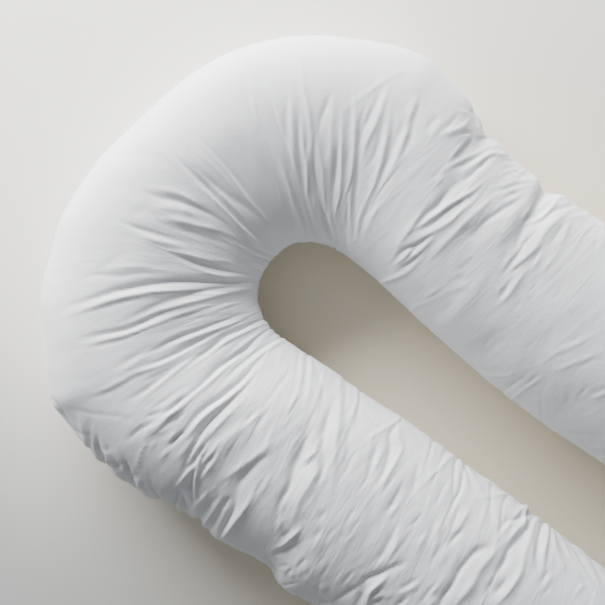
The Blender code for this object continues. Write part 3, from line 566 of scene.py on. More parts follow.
    (-2.8, 2.8, ((380.5, 592), (376, 595), (371, 597.5))),
    (3.6, 2.8, ((381, 597.5), (374, 600.5), (368, 603.5))),
    (3.2, 3.2, ((414, 577.5), (409, 581), (404, 584), (397.5, 587.5))),
    (-2.6, 3.2, ((416, 581.5), (411, 585), (405, 588.5), (396.5, 590))),
    (2.4, 1.6, ((416, 588), (413.5, 592.5))),
    (2.6, 2.2, ((433.5, 584), (429, 586.5), (426, 591), (422.5, 596), (420, 600), (417.5, 604))),
    (4.5, 3.4, ((405, 596.5), (401, 599), (396.5, 602.5), (392, 605.5))),
    (-2.2, 3.0, ((438.5, 581.5), (434, 586.5), (430, 591.5))),
    (-3.0, 3.4, ((433.5, 598.5), (428.5, 601.5), (425, 605))),
    (-1.8, 3.5, ((443, 576.5), (436.5, 578.5))),
    (-2.4, 3.0, ((391, 592.5), (385, 593.5), (380, 591.5))),
    (2.6, 4.0, ((392, 500), (387.5, 506))),
    (-2.0, 3.5, ((396.5, 501), (392.5, 508), (389, 513.5))),
    (5.0, 4.0, ((540.5, 523), (538.5, 529), (536.5, 536.5), (535.5, 546.5), (534, 555), (536, 563.5))),
    (-4.0, 4.0, ((545, 525), (545.5, 531.5), (544, 540), (541.5, 550), (541, 561), (540, 570))),
    (-2.6, 3.6, ((551.5, 535), (552.5, 542.5), (555, 549))),
    (2.0, 2.0, ((548.5, 531.5), (547.5, 540))),
    (-2.2, 4.0, ((535, 515), (531.5, 521.5), (530, 527.5))),
    (2.6, 2.2, ((533.5, 515), (530, 519), (527.5, 523.5))),
    (-2.4, 3.5, ((523.5, 506.5), (522.5, 516.5), (523.5, 526.5), (526, 535))),
    (-2.4, 5.0, ((529, 536.5), (529, 553), (527.5, 565))),
    (2.8, 3.6, ((546.5, 568.5), (543.5, 573.5), (540, 579), (537.5, 584))),
    (2.2, 3.2, ((548.5, 586), (543.5, 590), (541.5, 593.5))),
    (-1.8, 2.6, ((550, 573.5), (546.5, 578.5), (544, 582.5))),
    (2.2, 1.6, ((579, 570), (582.5, 576.5), (586.5, 583.5), (591, 591), (594, 598.5))),
    (2.4, 2.0, ((576.5, 553.5), (581.5, 562.5), (586, 569), (589, 574), (593.5, 581), (597.5, 588.5))),
    (-2.0, 2.0, ((583.5, 570), (588.5, 579), (593.5, 587.5), (596.5, 594))),
    (1.8, 1.6, ((595, 567.5), (597.5, 572.5), (599, 576))),
    (-1.8, 2.4, ((591, 570), (595, 577.5), (600, 585))),
    (-1.6, 2.0, ((584, 581.5), (578.5, 586.5), (573.5, 594))),
    (-1.5, 2.4, ((561.5, 539), (565, 546))),
    (1.5, 2.0, ((556, 536.5), (560, 544))),
    (4.0, 2.2, ((456, 455), (453.5, 462), (453, 471))),
    (2.0, 1.6, ((464, 463), (466, 471))),
    (2.4, 1.6, ((431, 441), (429, 448))),
    (1.8, 1.6, ((443, 451), (441, 456))),
    (-2.5, 2.6, ((452, 453), (447, 457), (442, 462))),
    (-2.4, 2.2, ((461, 464), (463, 470), (466, 478), (467, 484))),
    (-1.6, 1.8, ((470, 470), (473, 476), (476, 482))),
    (1.8, 1.4, ((490, 484), (489.5, 494))),
    (-2.2, 1.4, ((492, 494), (499, 493), (507, 492))),
    (2.4, 1.6, ((505, 496), (502, 501), (501, 508))),
    (2.2, 1.4, ((446, 481), (441, 487), (438, 494), (435, 503))),
    (-1.2, 2.0, ((482, 508), (482, 526))),
)
OUTER_RIM_FOLDS: tuple[FoldRow, ...] = (
    (2.5, 2.6, ((56.5, 404.5), (58.5, 407), (60.5, 410))),
    (2.0, 1.5, ((66.5, 418.5), (71, 425), (73.5, 427.5))),
    (2.0, 2.4, ((76, 431), (80, 432.5), (88, 433.5))),
    (-2.4, 3.0, ((82, 435), (83, 440))),
    (2.0, 2.4, ((88, 438), (88, 443))),
    (6.0, 2.6, ((95, 434), (95, 442.5), (96, 449), (97.5, 453))),
    (6.5, 2.8, ((99.5, 446), (99.5, 452), (101, 458), (103.5, 463.5))),
    (-3.5, 1.2, ((101, 445), (103.5, 452), (105, 458), (106, 463.5))),
    (-1.8, 1.4, ((91, 438), (93, 449))),
    (2.0, 3.0, ((104, 446), (106, 452))),
    (7.0, 4.5, ((106, 466), (110, 466.5), (114, 465.5), (119.5, 462.5))),
    (3.0, 2.4, ((118, 469), (120.5, 473.5))),
    (3.6, 2.6, ((124.5, 469), (124.5, 476))),
    (-2.6, 2.2, ((129.5, 468), (127.5, 472.5), (126.5, 476))),
    (6.0, 3.6, ((129, 476.5), (130.5, 480.5), (133, 484))),
    (2.6, 1.6, ((134, 472.5), (134.5, 478))),
    (-3.4, 3.0, ((137.5, 478), (136.5, 482.5), (136, 485))),
    (4.0, 2.2, ((140.5, 481), (143.5, 487.5), (147.5, 492), (150.5, 496.5), (155, 499))),
    (3.0, 1.8, ((147.5, 474), (149, 483.5), (152, 489.5), (156, 496.5))),
    (2.6, 1.5, ((154.5, 486), (155, 492), (157.5, 499))),
    (2.6, 1.8, ((161, 491), (162, 500.5))),
    (3.2, 2.0, ((166.5, 491), (167.5, 502.5))),
    (3.4, 2.2, ((175, 489.5), (173.5, 496.5), (172, 506))),
    (3.4, 2.8, ((179.5, 496.5), (180.5, 506))),
    (-4.0, 2.2, ((182, 403.5), (175, 409.5), (169, 413.5), (163, 419), (158, 424), (153, 429), (149, 432.5))),
    (-2.0, 1.8, ((145, 438), (142, 446), (139, 453.5), (136, 462), (133.5, 469))),
    (5.5, 2.2, ((181, 396.5), (175, 402), (170.5, 406), (166, 409.5), (162, 412))),
    (2.6, 1.8, ((159.5, 409.5), (154.5, 412), (149, 413.5), (144.5, 416))),
    (3.2, 2.2, ((175, 417.5), (167.5, 421), (163, 425), (159, 427.5))),
    (2.8, 2.0, ((182, 412), (176.5, 416.5), (174.5, 419.5), (172, 423.5))),
    (2.8, 2.2, ((182, 432), (176.5, 435), (174.5, 437.5), (166, 445))),
    (1.5, 1.6, ((167.5, 428), (163, 433.5), (156.5, 437.5))),
    (-2.0, 2.2, ((174.5, 429), (170.5, 436), (166, 442.5))),
    (-2.0, 2.2, ((168, 446), (163, 453.5), (157.5, 461))),
    (1.5, 1.3, ((152, 421), (146, 424), (139.5, 426.5), (133.5, 432), (128, 436.5))),
    (-1.2, 1.5, ((152, 440.5), (149, 449))),
    (1.6, 1.8, ((149.5, 400.5), (145, 406))),
)

# Wide soft hollows and swells of the filling.
SOFT_FORMS: tuple[FoldRow, ...] = (
    (6.0, 16.0, ((262, 548), (280, 568), (305, 588), (335, 602), (365, 610))),
    (5.0, 12.0, ((304, 425), (299, 445), (295, 462), (291, 480))),
    (-4.0, 10.0, ((490, 195), (468, 214), (448, 233), (428, 255))),
    (-4.0, 12.0, ((236, 424), (220, 440), (210, 458), (203, 474))),
    (4.0, 10.0, ((176, 488), (186, 502), (200, 515))),
)


@dataclass(frozen=True)
class FoldTable:
    """One table of folds, with how it was marked.

    Attributes:
        rows: The folds.
        shift: Added to every mark, to line the table up with the others.
        share: How much of its marked depth each fold is given.
    """

    rows: tuple[FoldRow, ...]
    shift: Pair
    share: float


FOLD_TABLES = (
    FoldTable(SHOULDER_FOLDS, (1.0, 0.9), 0.80),
    FoldTable(RIGHT_LEG_FOLDS, (1.0, 0.9), 0.62),
    FoldTable(CROWN_FOLDS, (0.0, 0.0), 1.0),
    FoldTable(BEND_FOLDS, (0.0, 0.0), 1.08),
    FoldTable(LEFT_LEG_FOLDS, (1.0, 0.9), 1.0),
    FoldTable(SOFT_FORMS, (0.0, 0.0), 1.3),
    FoldTable(OUTER_RIM_FOLDS, (1.0, 0.5), 1.35),
)

# Wrinkled patches of the case: (column, row, radius, gain).
WRINKLE_PATCHES: Patches = (
    (300, 215, 55, 0.9),
    (215, 300, 70, 0.7),
    (250, 400, 90, 0.9),
    (330, 520, 110, 0.7),
    (470, 560, 110, 0.7),
    (480, 200, 80, 0.5),
    (560, 250, 70, 0.4),
    (540, 380, 110, -0.12),
    (160, 240, 60, 0.5),
)

# Stretches of seam that are gathered more than the rest: (column, row, radius, gain).
RIM_PATCHES: Patches = (
    (120, 475, 55, 2.6),
    (200, 525, 50, 2.4),
    (265, 580, 45, 1.6),
    (70, 425, 30, 1.2),
    (490, 135, 35, 1.2),
    (545, 190, 45, 1.2),
    (480, 475, 60, 1.2),
    (560, 540, 60, 1.0),
)


class Seam(Enum):
    """The two seams that join the top panel to the back panel."""

    OUTER = "outer"
    INNER = "inner"


@dataclass(frozen=True)
class SeamPath:
    """Where one seam runs.

    Attributes:
        marks: (column, row) on the pattern grid, from the right leg round to the left one.
        right_leg: (distance down the leg, reach from the centre plane) past the marks.
        left_leg: The same for the left leg.
    """

    marks: Route
    right_leg: Route
    left_leg: Route


SEAM_PATHS: dict[Seam, SeamPath] = {
    Seam.OUTER: SeamPath(
        marks=(
            (605, 224), (579, 208), (556, 195), (541, 191), (538, 181), (525, 170), (509, 156),
            (498, 143), (484, 133), (481, 123), (472, 107), (456, 88), (444, 76), (425, 59),
            (408, 51), (366, 42), (328, 39), (286, 39.5), (247, 47), (217, 61), (187, 80),
            (156, 106), (132, 128), (104.5, 155), (88, 177), (66, 212), (54, 248), (44, 286),
            (44, 328), (46, 359), (51, 386), (56, 405), (64, 415), (76, 432), (92, 450.5),
            (106, 467), (121, 478), (135, 487.5), (151, 498), (165, 504), (179, 511),
            (193, 520), (203, 525), (216, 538.5), (229, 545), (255, 558), (268, 568),
            (275, 582), (285, 592), (303, 601),
        ),
        right_leg=((-0.46, 0.376), (-0.70, 0.381), (-0.92, 0.376), (-1.065, 0.372)),
        left_leg=((-0.46, 0.386), (-0.70, 0.386), (-0.92, 0.379), (-1.065, 0.374)),
    ),
    Seam.INNER: SeamPath(
        marks=(
            (605, 463), (559, 432), (502, 390), (444, 340), (405, 303), (370, 272), (347, 255),
            (328, 244.5), (309, 240.5), (291, 242.5), (276, 253), (263, 270), (257, 286), (257, 303),
            (264, 320), (278, 336), (297, 349), (328, 370), (363, 396), (397, 417), (436, 444),
            (467, 467), (509, 498), (552, 531), (605, 571),
        ),
        right_leg=((-0.80, 0.065), (-1.065, 0.066)),
        left_leg=((-0.80, 0.065), (-1.065, 0.066)),
    ),
}

# Loft of the crown: (distance along the centreline from the start of the bend, height).
LOFTS: Route = (
    (-1.065, 0.176), (-0.80, 0.184), (-0.45, 0.187), (-0.20, 0.184), (-0.05, 0.187),
    (0.12, 0.190), (0.38, 0.192), (0.62, 0.190), (0.80, 0.187), (0.95, 0.186),
    (1.20, 0.188), (1.55, 0.184), (1.819, 0.176),
)


@dataclass(frozen=True)
class CaseSurface:
    """The filled case as grids of (station, ring point).

    Attributes:
        along: Distance along the centreline at each station.
        points: Position of each point, from the centre of the bend.
        from_seam: Distance over the cloth from the nearer seam, less than 0 underneath.
        inner_share: 0 at the outer seam and 1 at the inner one, across the panel.
        flat_cut: Where each point lay on the flat panel before it was sewn.
        fan: Distance square to the small folds, distance along them, and how many there are.
    """

    along: Array
    points: Array
    from_seam: Array
    inner_share: Array
    flat_cut: Array
    fan: Array

    def outward(self) -> Array:
        """Unit direction out of the cloth: the cross product of the grid's two directions.

        Returns:
            The direction at each point, as (station, ring, 3).
        """
        around = np.roll(self.points, -1, axis=1) - np.roll(self.points, 1, axis=1)
        down = np.gradient(self.points, axis=0)
        normal = np.cross(down, around)
        return normal / np.linalg.norm(normal, axis=2, keepdims=True)

    def moved(self, offset: Array) -> "CaseSurface":
        """The same cloth with every point moved by offset."""
        return replace(self, points=self.points + offset)

    def raised(self, relief: Array) -> "CaseSurface":
        """The same cloth with every point moved outwards by relief."""
        return self.moved(self.outward() * relief[..., None])


@dataclass(frozen=True)
class CaseForm:
    """Sizes of the filled case: two legs joined by a half-round bend.

    Attributes:
        shown_legs: How far down the right and the left leg folds are marked.
        seam_draw: How far the stitching draws each seam in.
        back_sag: How far the back would bulge under the floor.
        crown_shift: How far the gathers of the bend push its crown outwards.
        shift_ease: Over which stretch that begins, measured into the bend.
        end_fill: How nearly a leg's end closes before its tip.
        fold_lean: How far the small folds lean along the case, at each end of the bend.
    """

    bend_radius: float = 0.240
    leg_length: float = 1.065
    leg_rounding: float = 0.150
    rounding_power: float = 2.4
    shown_legs: Pair = (0.540, 0.680)
    seam_height: float = 0.083
    seam_draw: float = 0.004
    back_sag: float = 0.012
    crown_power: float = 2.0
    crown_shift: float = 0.044
    shift_ease: Pair = (-0.10, 0.15)
    end_fill: float = 0.9995
    fold_lean: Pair = (0.15, -0.20)
    bend_steps: int = 310
    shown_leg_steps: tuple[int, int] = (220, 290)
    plain_leg_steps: tuple[int, int] = (36, 24)
    rounding_steps: int = 15
    top_steps: int = 88
    side_steps: int = 6
    floor_steps: int = 4

    @property
    def bend_length(self) -> float:
        """Length of the bend's centreline."""
        return math.pi * self.bend_radius

    def stations(self) -> tuple[Array, Array]:
        """Stations close together where folds show, and wider apart down the plain legs.

        Returns:
            Distance along the centreline, and the section's scale there: a superellipse over
            the last stretch of each leg.
        """
        steps = np.linspace(math.pi / 2, 0, self.rounding_steps + 1)
        rounding = self.leg_rounding * (1 - self.end_fill * np.sin(steps))
        plain_start = self.leg_length - self.leg_rounding
        legs = []
        for length, shown_count, plain_count in zip(
            self.shown_legs, self.shown_leg_steps, self.plain_leg_steps
        ):
            plain = np.linspace(-plain_start, -length, plain_count + 1)[1:]
            shown = np.linspace(-length, 0.0, shown_count + 1)[1:]
            legs.append(np.concatenate([rounding - self.leg_length, plain, shown]))
        bend = np.linspace(0.0, self.bend_length, self.bend_steps + 1)[1:-1]
        along = np.concatenate([legs[0], bend, self.bend_length - legs[1][::-1]])
        from_tip = np.minimum(along, self.bend_length - along) + self.leg_length
        into_end = np.clip(1 - from_tip / self.leg_rounding, 0.0, 1.0)
        scale = (1 - into_end**self.rounding_power) ** (1 / self.rounding_power)
        return along, scale

    def seam_reach(self, seam: Seam, along: Array, grid: PatternGrid) -> Array:
        """How far a seam lies from the bend's centre, or from the centre plane on a leg.

        Args:
            seam: Which seam.
            along: Distance along the centreline.
            grid: The grid that the seam is marked on.

        Returns:
            The reach at each of along, on a smooth curve through the marks.
        """
        path = SEAM_PATHS[seam]
        x, y = grid.plan(np.array(path.marks), grid.pitch_height).T
        turn = np.arctan2(np.maximum(y, 0.0), x)
        mark_along = self.bend_radius * turn + np.where(x > 0, 1, -1) * np.minimum(y, 0.0)
        mark_reach = np.where(y > 0, np.hypot(x, y), np.abs(x))
        right = np.array(path.right_leg)
        left = np.array(path.left_leg)
        knots = np.concatenate([right[:, 0], mark_along, self.bend_length - left[:, 0]])
        reaches = np.concatenate([right[:, 1], mark_reach, left[:, 1]])
        order = np.argsort(knots)
        return hermite(along, knots[order], reaches[order])

    def place(self, along: Array, reach: Array, height: Array) -> Array:
        """Points from a reach and a height at each station: straight legs and a half turn.

        Args:
            along: Distance along the centreline at each station.
            reach: (station, ring) distance from the bend's centre, or from the centre plane.
            height: (station, ring) height.

        Returns:
            The points, as (station, ring, 3).
        """
        turn = np.clip(along, 0.0, self.bend_length)[:, None] / self.bend_radius
        down = np.minimum(along, 0.0) + np.minimum(self.bend_length - along, 0.0)
        x = reach * np.cos(turn)
        y = reach * np.sin(turn) + down[:, None]
        return np.stack([x, y, height], axis=2)

    def section(self, half: Array, loft: Array, shift: Array) -> tuple[Array, Array]:
        """One section at each station, from the outer seam over the crown and back under.

        The top is a superellipse from seam to seam, with its crown shifted outwards in the
        bend, where the gathers draw the inner side down. Each side below the seams is part
        of an ellipse that would bulge under the floor, and the floor cuts it off flat.

        Args:
            half: Half the width at each station, as a column.
            loft: Height of the crown at each station, as a column.
            shift: Shift of the crown at each station, as a column.

        Returns:
            Distance from the middle of the section, and height, as (station, ring) grids.
        """
        turn = np.linspace(0.0, math.pi, self.top_steps + 1)
        power = 2 / self.crown_power
        across = np.sign(np.cos(turn)) * np.abs(np.cos(turn)) ** power
        rise = np.sin(turn).clip(0) ** power
        top_height = self.seam_height + (loft - self.seam_height) * rise
        bulge = self.seam_height + self.back_sag
        lowest = math.asin(self.seam_height / bulge)
        under = lowest * np.arange(1, self.side_steps + 1) / self.side_steps
        side_across = np.cos(under)
        side_height = self.seam_height - bulge * np.sin(under)
        side_height[-1] = 0.0
        floor = np.linspace(-side_across[-1], side_across[-1], self.floor_steps + 2)[1:-1]
        back_across = np.concatenate([-side_across, floor, side_across[::-1]])
        back_height = np.concatenate([side_height, np.zeros(self.floor_steps), side_height[::-1]])
        return (
            np.concatenate([half * across + shift * np.sin(turn) ** 2, half * back_across], axis=1),
            np.concatenate([top_height, np.tile(back_height, (len(half), 1))], axis=1),
        )

    def surface(self, grid: PatternGrid) -> CaseSurface:
        """The plump case before any fold is pressed in.

        Args:
            grid: The pattern grid of the seam marks.

        Returns:
            The case's points, with each point's place on the cloth.
        """
        along, scale = self.stations()
        outer = self.seam_reach(Seam.OUTER, along, grid)
        inner = self.seam_reach(Seam.INNER, along, grid) - self.seam_draw
        loft = hermite(along, *np.array(LOFTS).T)[:, None]
        middle = ((outer + inner) / 2)[:, None]
        half = ((outer - inner) / 2)[:, None]
        into_bend = np.minimum(along, self.bend_length - along)
        shift = self.crown_shift * smooth_step(into_bend, *self.shift_ease)[:, None]
        offset, height = self.section(half, loft, shift)
        offset = offset * scale[:, None]
        height = self.seam_height + (height - self.seam_height) * scale[:, None]
        points = self.place(along, middle + offset, height)

        step = np.hypot(np.diff(offset, axis=1), np.diff(height, axis=1))
        arc = np.concatenate([np.zeros((len(along), 1)), np.cumsum(step, axis=1)], axis=1)
        top = arc[:, [self.top_steps]]
        over = np.arange(offset.shape[1]) <= self.top_steps
        whole = arc[:, [-1]]
        back = np.minimum(arc - top, whole - arc).clip(0)
        from_seam = np.where(over, np.minimum(arc, top - arc), -back)
        share = np.where(over, arc / top, 1 - (arc - top) / (whole - top).clip(1e-6))
        flat = self.place(along, middle + np.where(over, top / 2 - arc, offset), height)
        lean = np.interp(along, (0.0, self.bend_length), self.fold_lean)[:, None]
        outward = (1 - share) * 2 * half
        fan = np.stack([along[:, None] + lean * outward, outward, 0 * outward], axis=2)
        return CaseSurface(along, points, from_seam, share, flat[..., :2], fan)


def smooth_route(route: Array | Route, steps: int = 5) -> Array:
    """A route with more points, on a smooth curve through its own.

    Args:
        route: (column, row) marks.
        steps: New stretches for each one of the route's.

    Returns:
        The marks of the smooth curve.
    """
    marks = np.array(route, float)
    lengths = np.linalg.norm(np.diff(marks, axis=0), axis=1)
    knots = np.concatenate([[0.0], np.cumsum(lengths)])
    at = np.linspace(0.0, knots[-1], steps * len(lengths) + 1)
    return np.stack([hermite(at, knots, marks[:, 0]), hermite(at, knots, marks[:, 1])], axis=1)


def route_distance(points: Array, route: Array) -> tuple[Array, Array]:
    """Distance of each point from a route: the least over its straight stretches.

    Args:
        points: (point, 2) marks.
        route: (stop, 2) marks.

    Returns:
        The distance in marks, and the share of the way along the route.
    """
    steps = np.diff(route, axis=0)
    lengths = np.linalg.norm(steps, axis=1)
    starts = np.concatenate([[0.0], np.cumsum(lengths)])
    away = points[:, None] - route[:-1]
    t = np.clip((away * steps).sum(-1) / lengths**2, 0.0, 1.0)
    gap = np.linalg.norm(away - t[..., None] * steps, axis=-1)
    nearest = gap.argmin(axis=1)
    row = np.arange(len(points))
    share = (starts[nearest] + t[row, nearest] * lengths[nearest]) / starts[-1]
    return gap[row, nearest], share


def lattice_noise(x: Array, y: Array, seed: int) -> Array:
    """Smooth seeded noise between -1 and 1: random heights on a square lattice of side 1,
    joined by S-shaped steps.

    Args:
        x: First coordinate.
        y: Second coordinate.
        seed: Picks the heights.

    Returns:
        The noise at each (x, y).
    """
    side = 256
    heights = np.random.default_rng(seed).uniform(-1, 1, (side, side))
    column = np.floor(x).astype(int)
    row = np.floor(y).astype(int)
    tx = smooth_step(x - column, 0.0, 1.0)
    ty = smooth_step(y - row, 0.0, 1.0)
    near, far = column % side, (column + 1) % side
    low, high = row % side, (row + 1) % side
    first = heights[near, low] * (1 - tx) + heights[far, low] * tx
    second = heights[near, high] * (1 - tx) + heights[far, high] * tx
    return first * (1 - ty) + second * ty


@dataclass(frozen=True)
class Settling:
    """Lets Blender's cloth settle the filled case: pressure inside, no gravity, and a little
    more cotton than the filling needs, so that the plain legs buckle into soft folds.

    Attributes:
        spacing: Least distance between the stations of the cloth.
        ring_step: The cloth takes every so many points round each section.
        pressure: Push of the filling.
        slack: How much longer the cotton is than the plump form, as a share.
        mass: Weight given to each point.
        stretch: Stiffness against stretch and against squeeze.
        floor_height: Below this the cloth lies on the floor and is held.
        seam_width: This near to a seam the cloth is held.
        most_plain: Furthest that a point may move down the plain legs.
        most_shown: Furthest that a point may move where folds are pressed in from the tables.
        far_share: The share of the cloth whose movement is scaled to fit those, so that a
            fold keeps its form. What moves further still is rounded off.
        ease: Where the one limit gives way to the other, from the last marked folds down.
        grain: Size of the seeded unevenness that starts the buckling.
    """

    spacing: float = 0.009
    ring_step: int = 2
    pressure: float = 4.0
    frames: int = 20
    slack: float = 0.035
    quality: int = 6
    mass: float = 0.2
    stretch: float = 12.0
    shear: float = 4.0
    bending: float = 0.6
    floor_height: float = 0.012
    seam_width: float = 0.003
    most_plain: float = 0.012
    most_shown: float = 0.0010
    far_share: float = 0.97
    ease: Pair = (-0.10, 0.22)
    grain: float = 0.0006
    seed: int = 71

    def run(self, rest: Array, held: Array) -> Array:
        """Runs the cloth on a closed tube of points.

        Args:
            rest: (station, ring, 3) points at rest.
            held: Which points stay where they are.

        Returns:
            The settled points.
        """
        rows, ring = held.shape
        row, spoke = np.meshgrid(np.arange(rows - 1), np.arange(ring), indexing="ij")
        after = (spoke + 1) % ring
        corners = [row * ring + spoke, (row + 1) * ring + spoke, (row + 1) * ring + after, row * ring + after]
        faces = np.stack(corners, axis=-1).reshape(-1, 4)
        grain = np.random.default_rng(self.seed).normal(0.0, self.grain, rest.shape)
        start = rest + grain * ~held[..., None]
        mesh = bpy.data.meshes.new("settling_cloth")
        mesh.from_pydata(start.reshape(-1, 3), [], [tuple(face) for face in faces.tolist()])
        cloth = bpy.data.objects.new("settling_cloth", mesh)
        bpy.context.scene.collection.objects.link(cloth)
        pins = cloth.vertex_groups.new(name="held")
        pins.add(np.flatnonzero(held).tolist(), 1.0, "REPLACE")
        modifier = cloth.modifiers.new("settling", "CLOTH")
        settings = modifier.settings
        settings.quality = self.quality
        settings.mass = self.mass
        settings.tension_stiffness = self.stretch
        settings.compression_stiffness = self.stretch
        settings.shear_stiffness = self.shear
        settings.bending_stiffness = self.bending
        settings.shrink_min = -self.slack
        settings.use_pressure = True
        settings.uniform_pressure_force = self.pressure
        settings.effector_weights.gravity = 0.0
        settings.vertex_group_mass = pins.name
        modifier.point_cache.frame_start = 1
        modifier.point_cache.frame_end = self.frames
        scene = bpy.context.scene
        for frame_number in range(1, self.frames + 1):
            scene.frame_set(frame_number)
        settled = cloth.evaluated_get(bpy.context.evaluated_depsgraph_get())
        points = np.empty(rest.size, np.float32)
        settled.data.vertices.foreach_get("co", points)
        bpy.data.objects.remove(cloth)
        bpy.data.meshes.remove(mesh)
        scene.frame_set(1)
        return points.reshape(rest.shape).astype(float)

    def offset(self, surface: CaseSurface, form: CaseForm) -> Array:
        """How far the cloth moves each point of the case, eased so that none moves too far.

        Args:
            surface: The plump case.
            form: Its sizes.

        Returns:
            The offset as a (station, ring, 3) grid.
        """
        travel = np.concatenate([[0.0], np.cumsum(np.diff(surface.along))])
        counts = np.floor(travel / self.spacing)
        picked = np.flatnonzero(np.diff(counts, prepend=-1.0) > 0)
        picked = np.unique(np.concatenate([picked, [len(travel) - 1]]))
        ring = np.arange(0, surface.points.shape[1], self.ring_step)
        rest = surface.points[np.ix_(picked, ring)]
        beside = np.abs(surface.from_seam[np.ix_(picked, ring)])
        held = (rest[..., 2] < self.floor_height) | (beside < self.seam_width)
        held[[0, 1, -2, -1]] = True
        moved = self.run(rest, held) - rest
        log.info("cloth: furthest point moved %.1f mm", np.linalg.norm(moved, axis=2).max() / MM)

        rows = hermite(travel, travel[picked], moved)
        count = surface.points.shape[1]
        closed = np.concatenate([rows[:, -1:], rows, rows[:, :2]], axis=1).transpose(1, 0, 2)
        knots = np.concatenate([[ring[-1] - count], ring, [count, count + self.ring_step]])
        full = hermite(np.arange(count), knots.astype(float), closed).transpose(1, 0, 2)
        down = -np.minimum(surface.along, form.bend_length - surface.along)
        shown = np.where(surface.along < form.bend_length / 2, *form.shown_legs)
        plain = smooth_step(down - shown, *self.ease)[:, None, None]
        most = self.most_shown + (self.most_plain - self.most_shown) * plain
        far = np.quantile(np.linalg.norm(full, axis=2), self.far_share)
        log.info("cloth: %.0f%% of it moved less than %.1f mm", 100 * self.far_share, far / MM)
        eased = full * np.minimum(1.0, most / far)
        size = np.linalg.norm(eased, axis=2, keepdims=True).clip(1e-9)
        return eased * most * np.tanh(size / most) / size


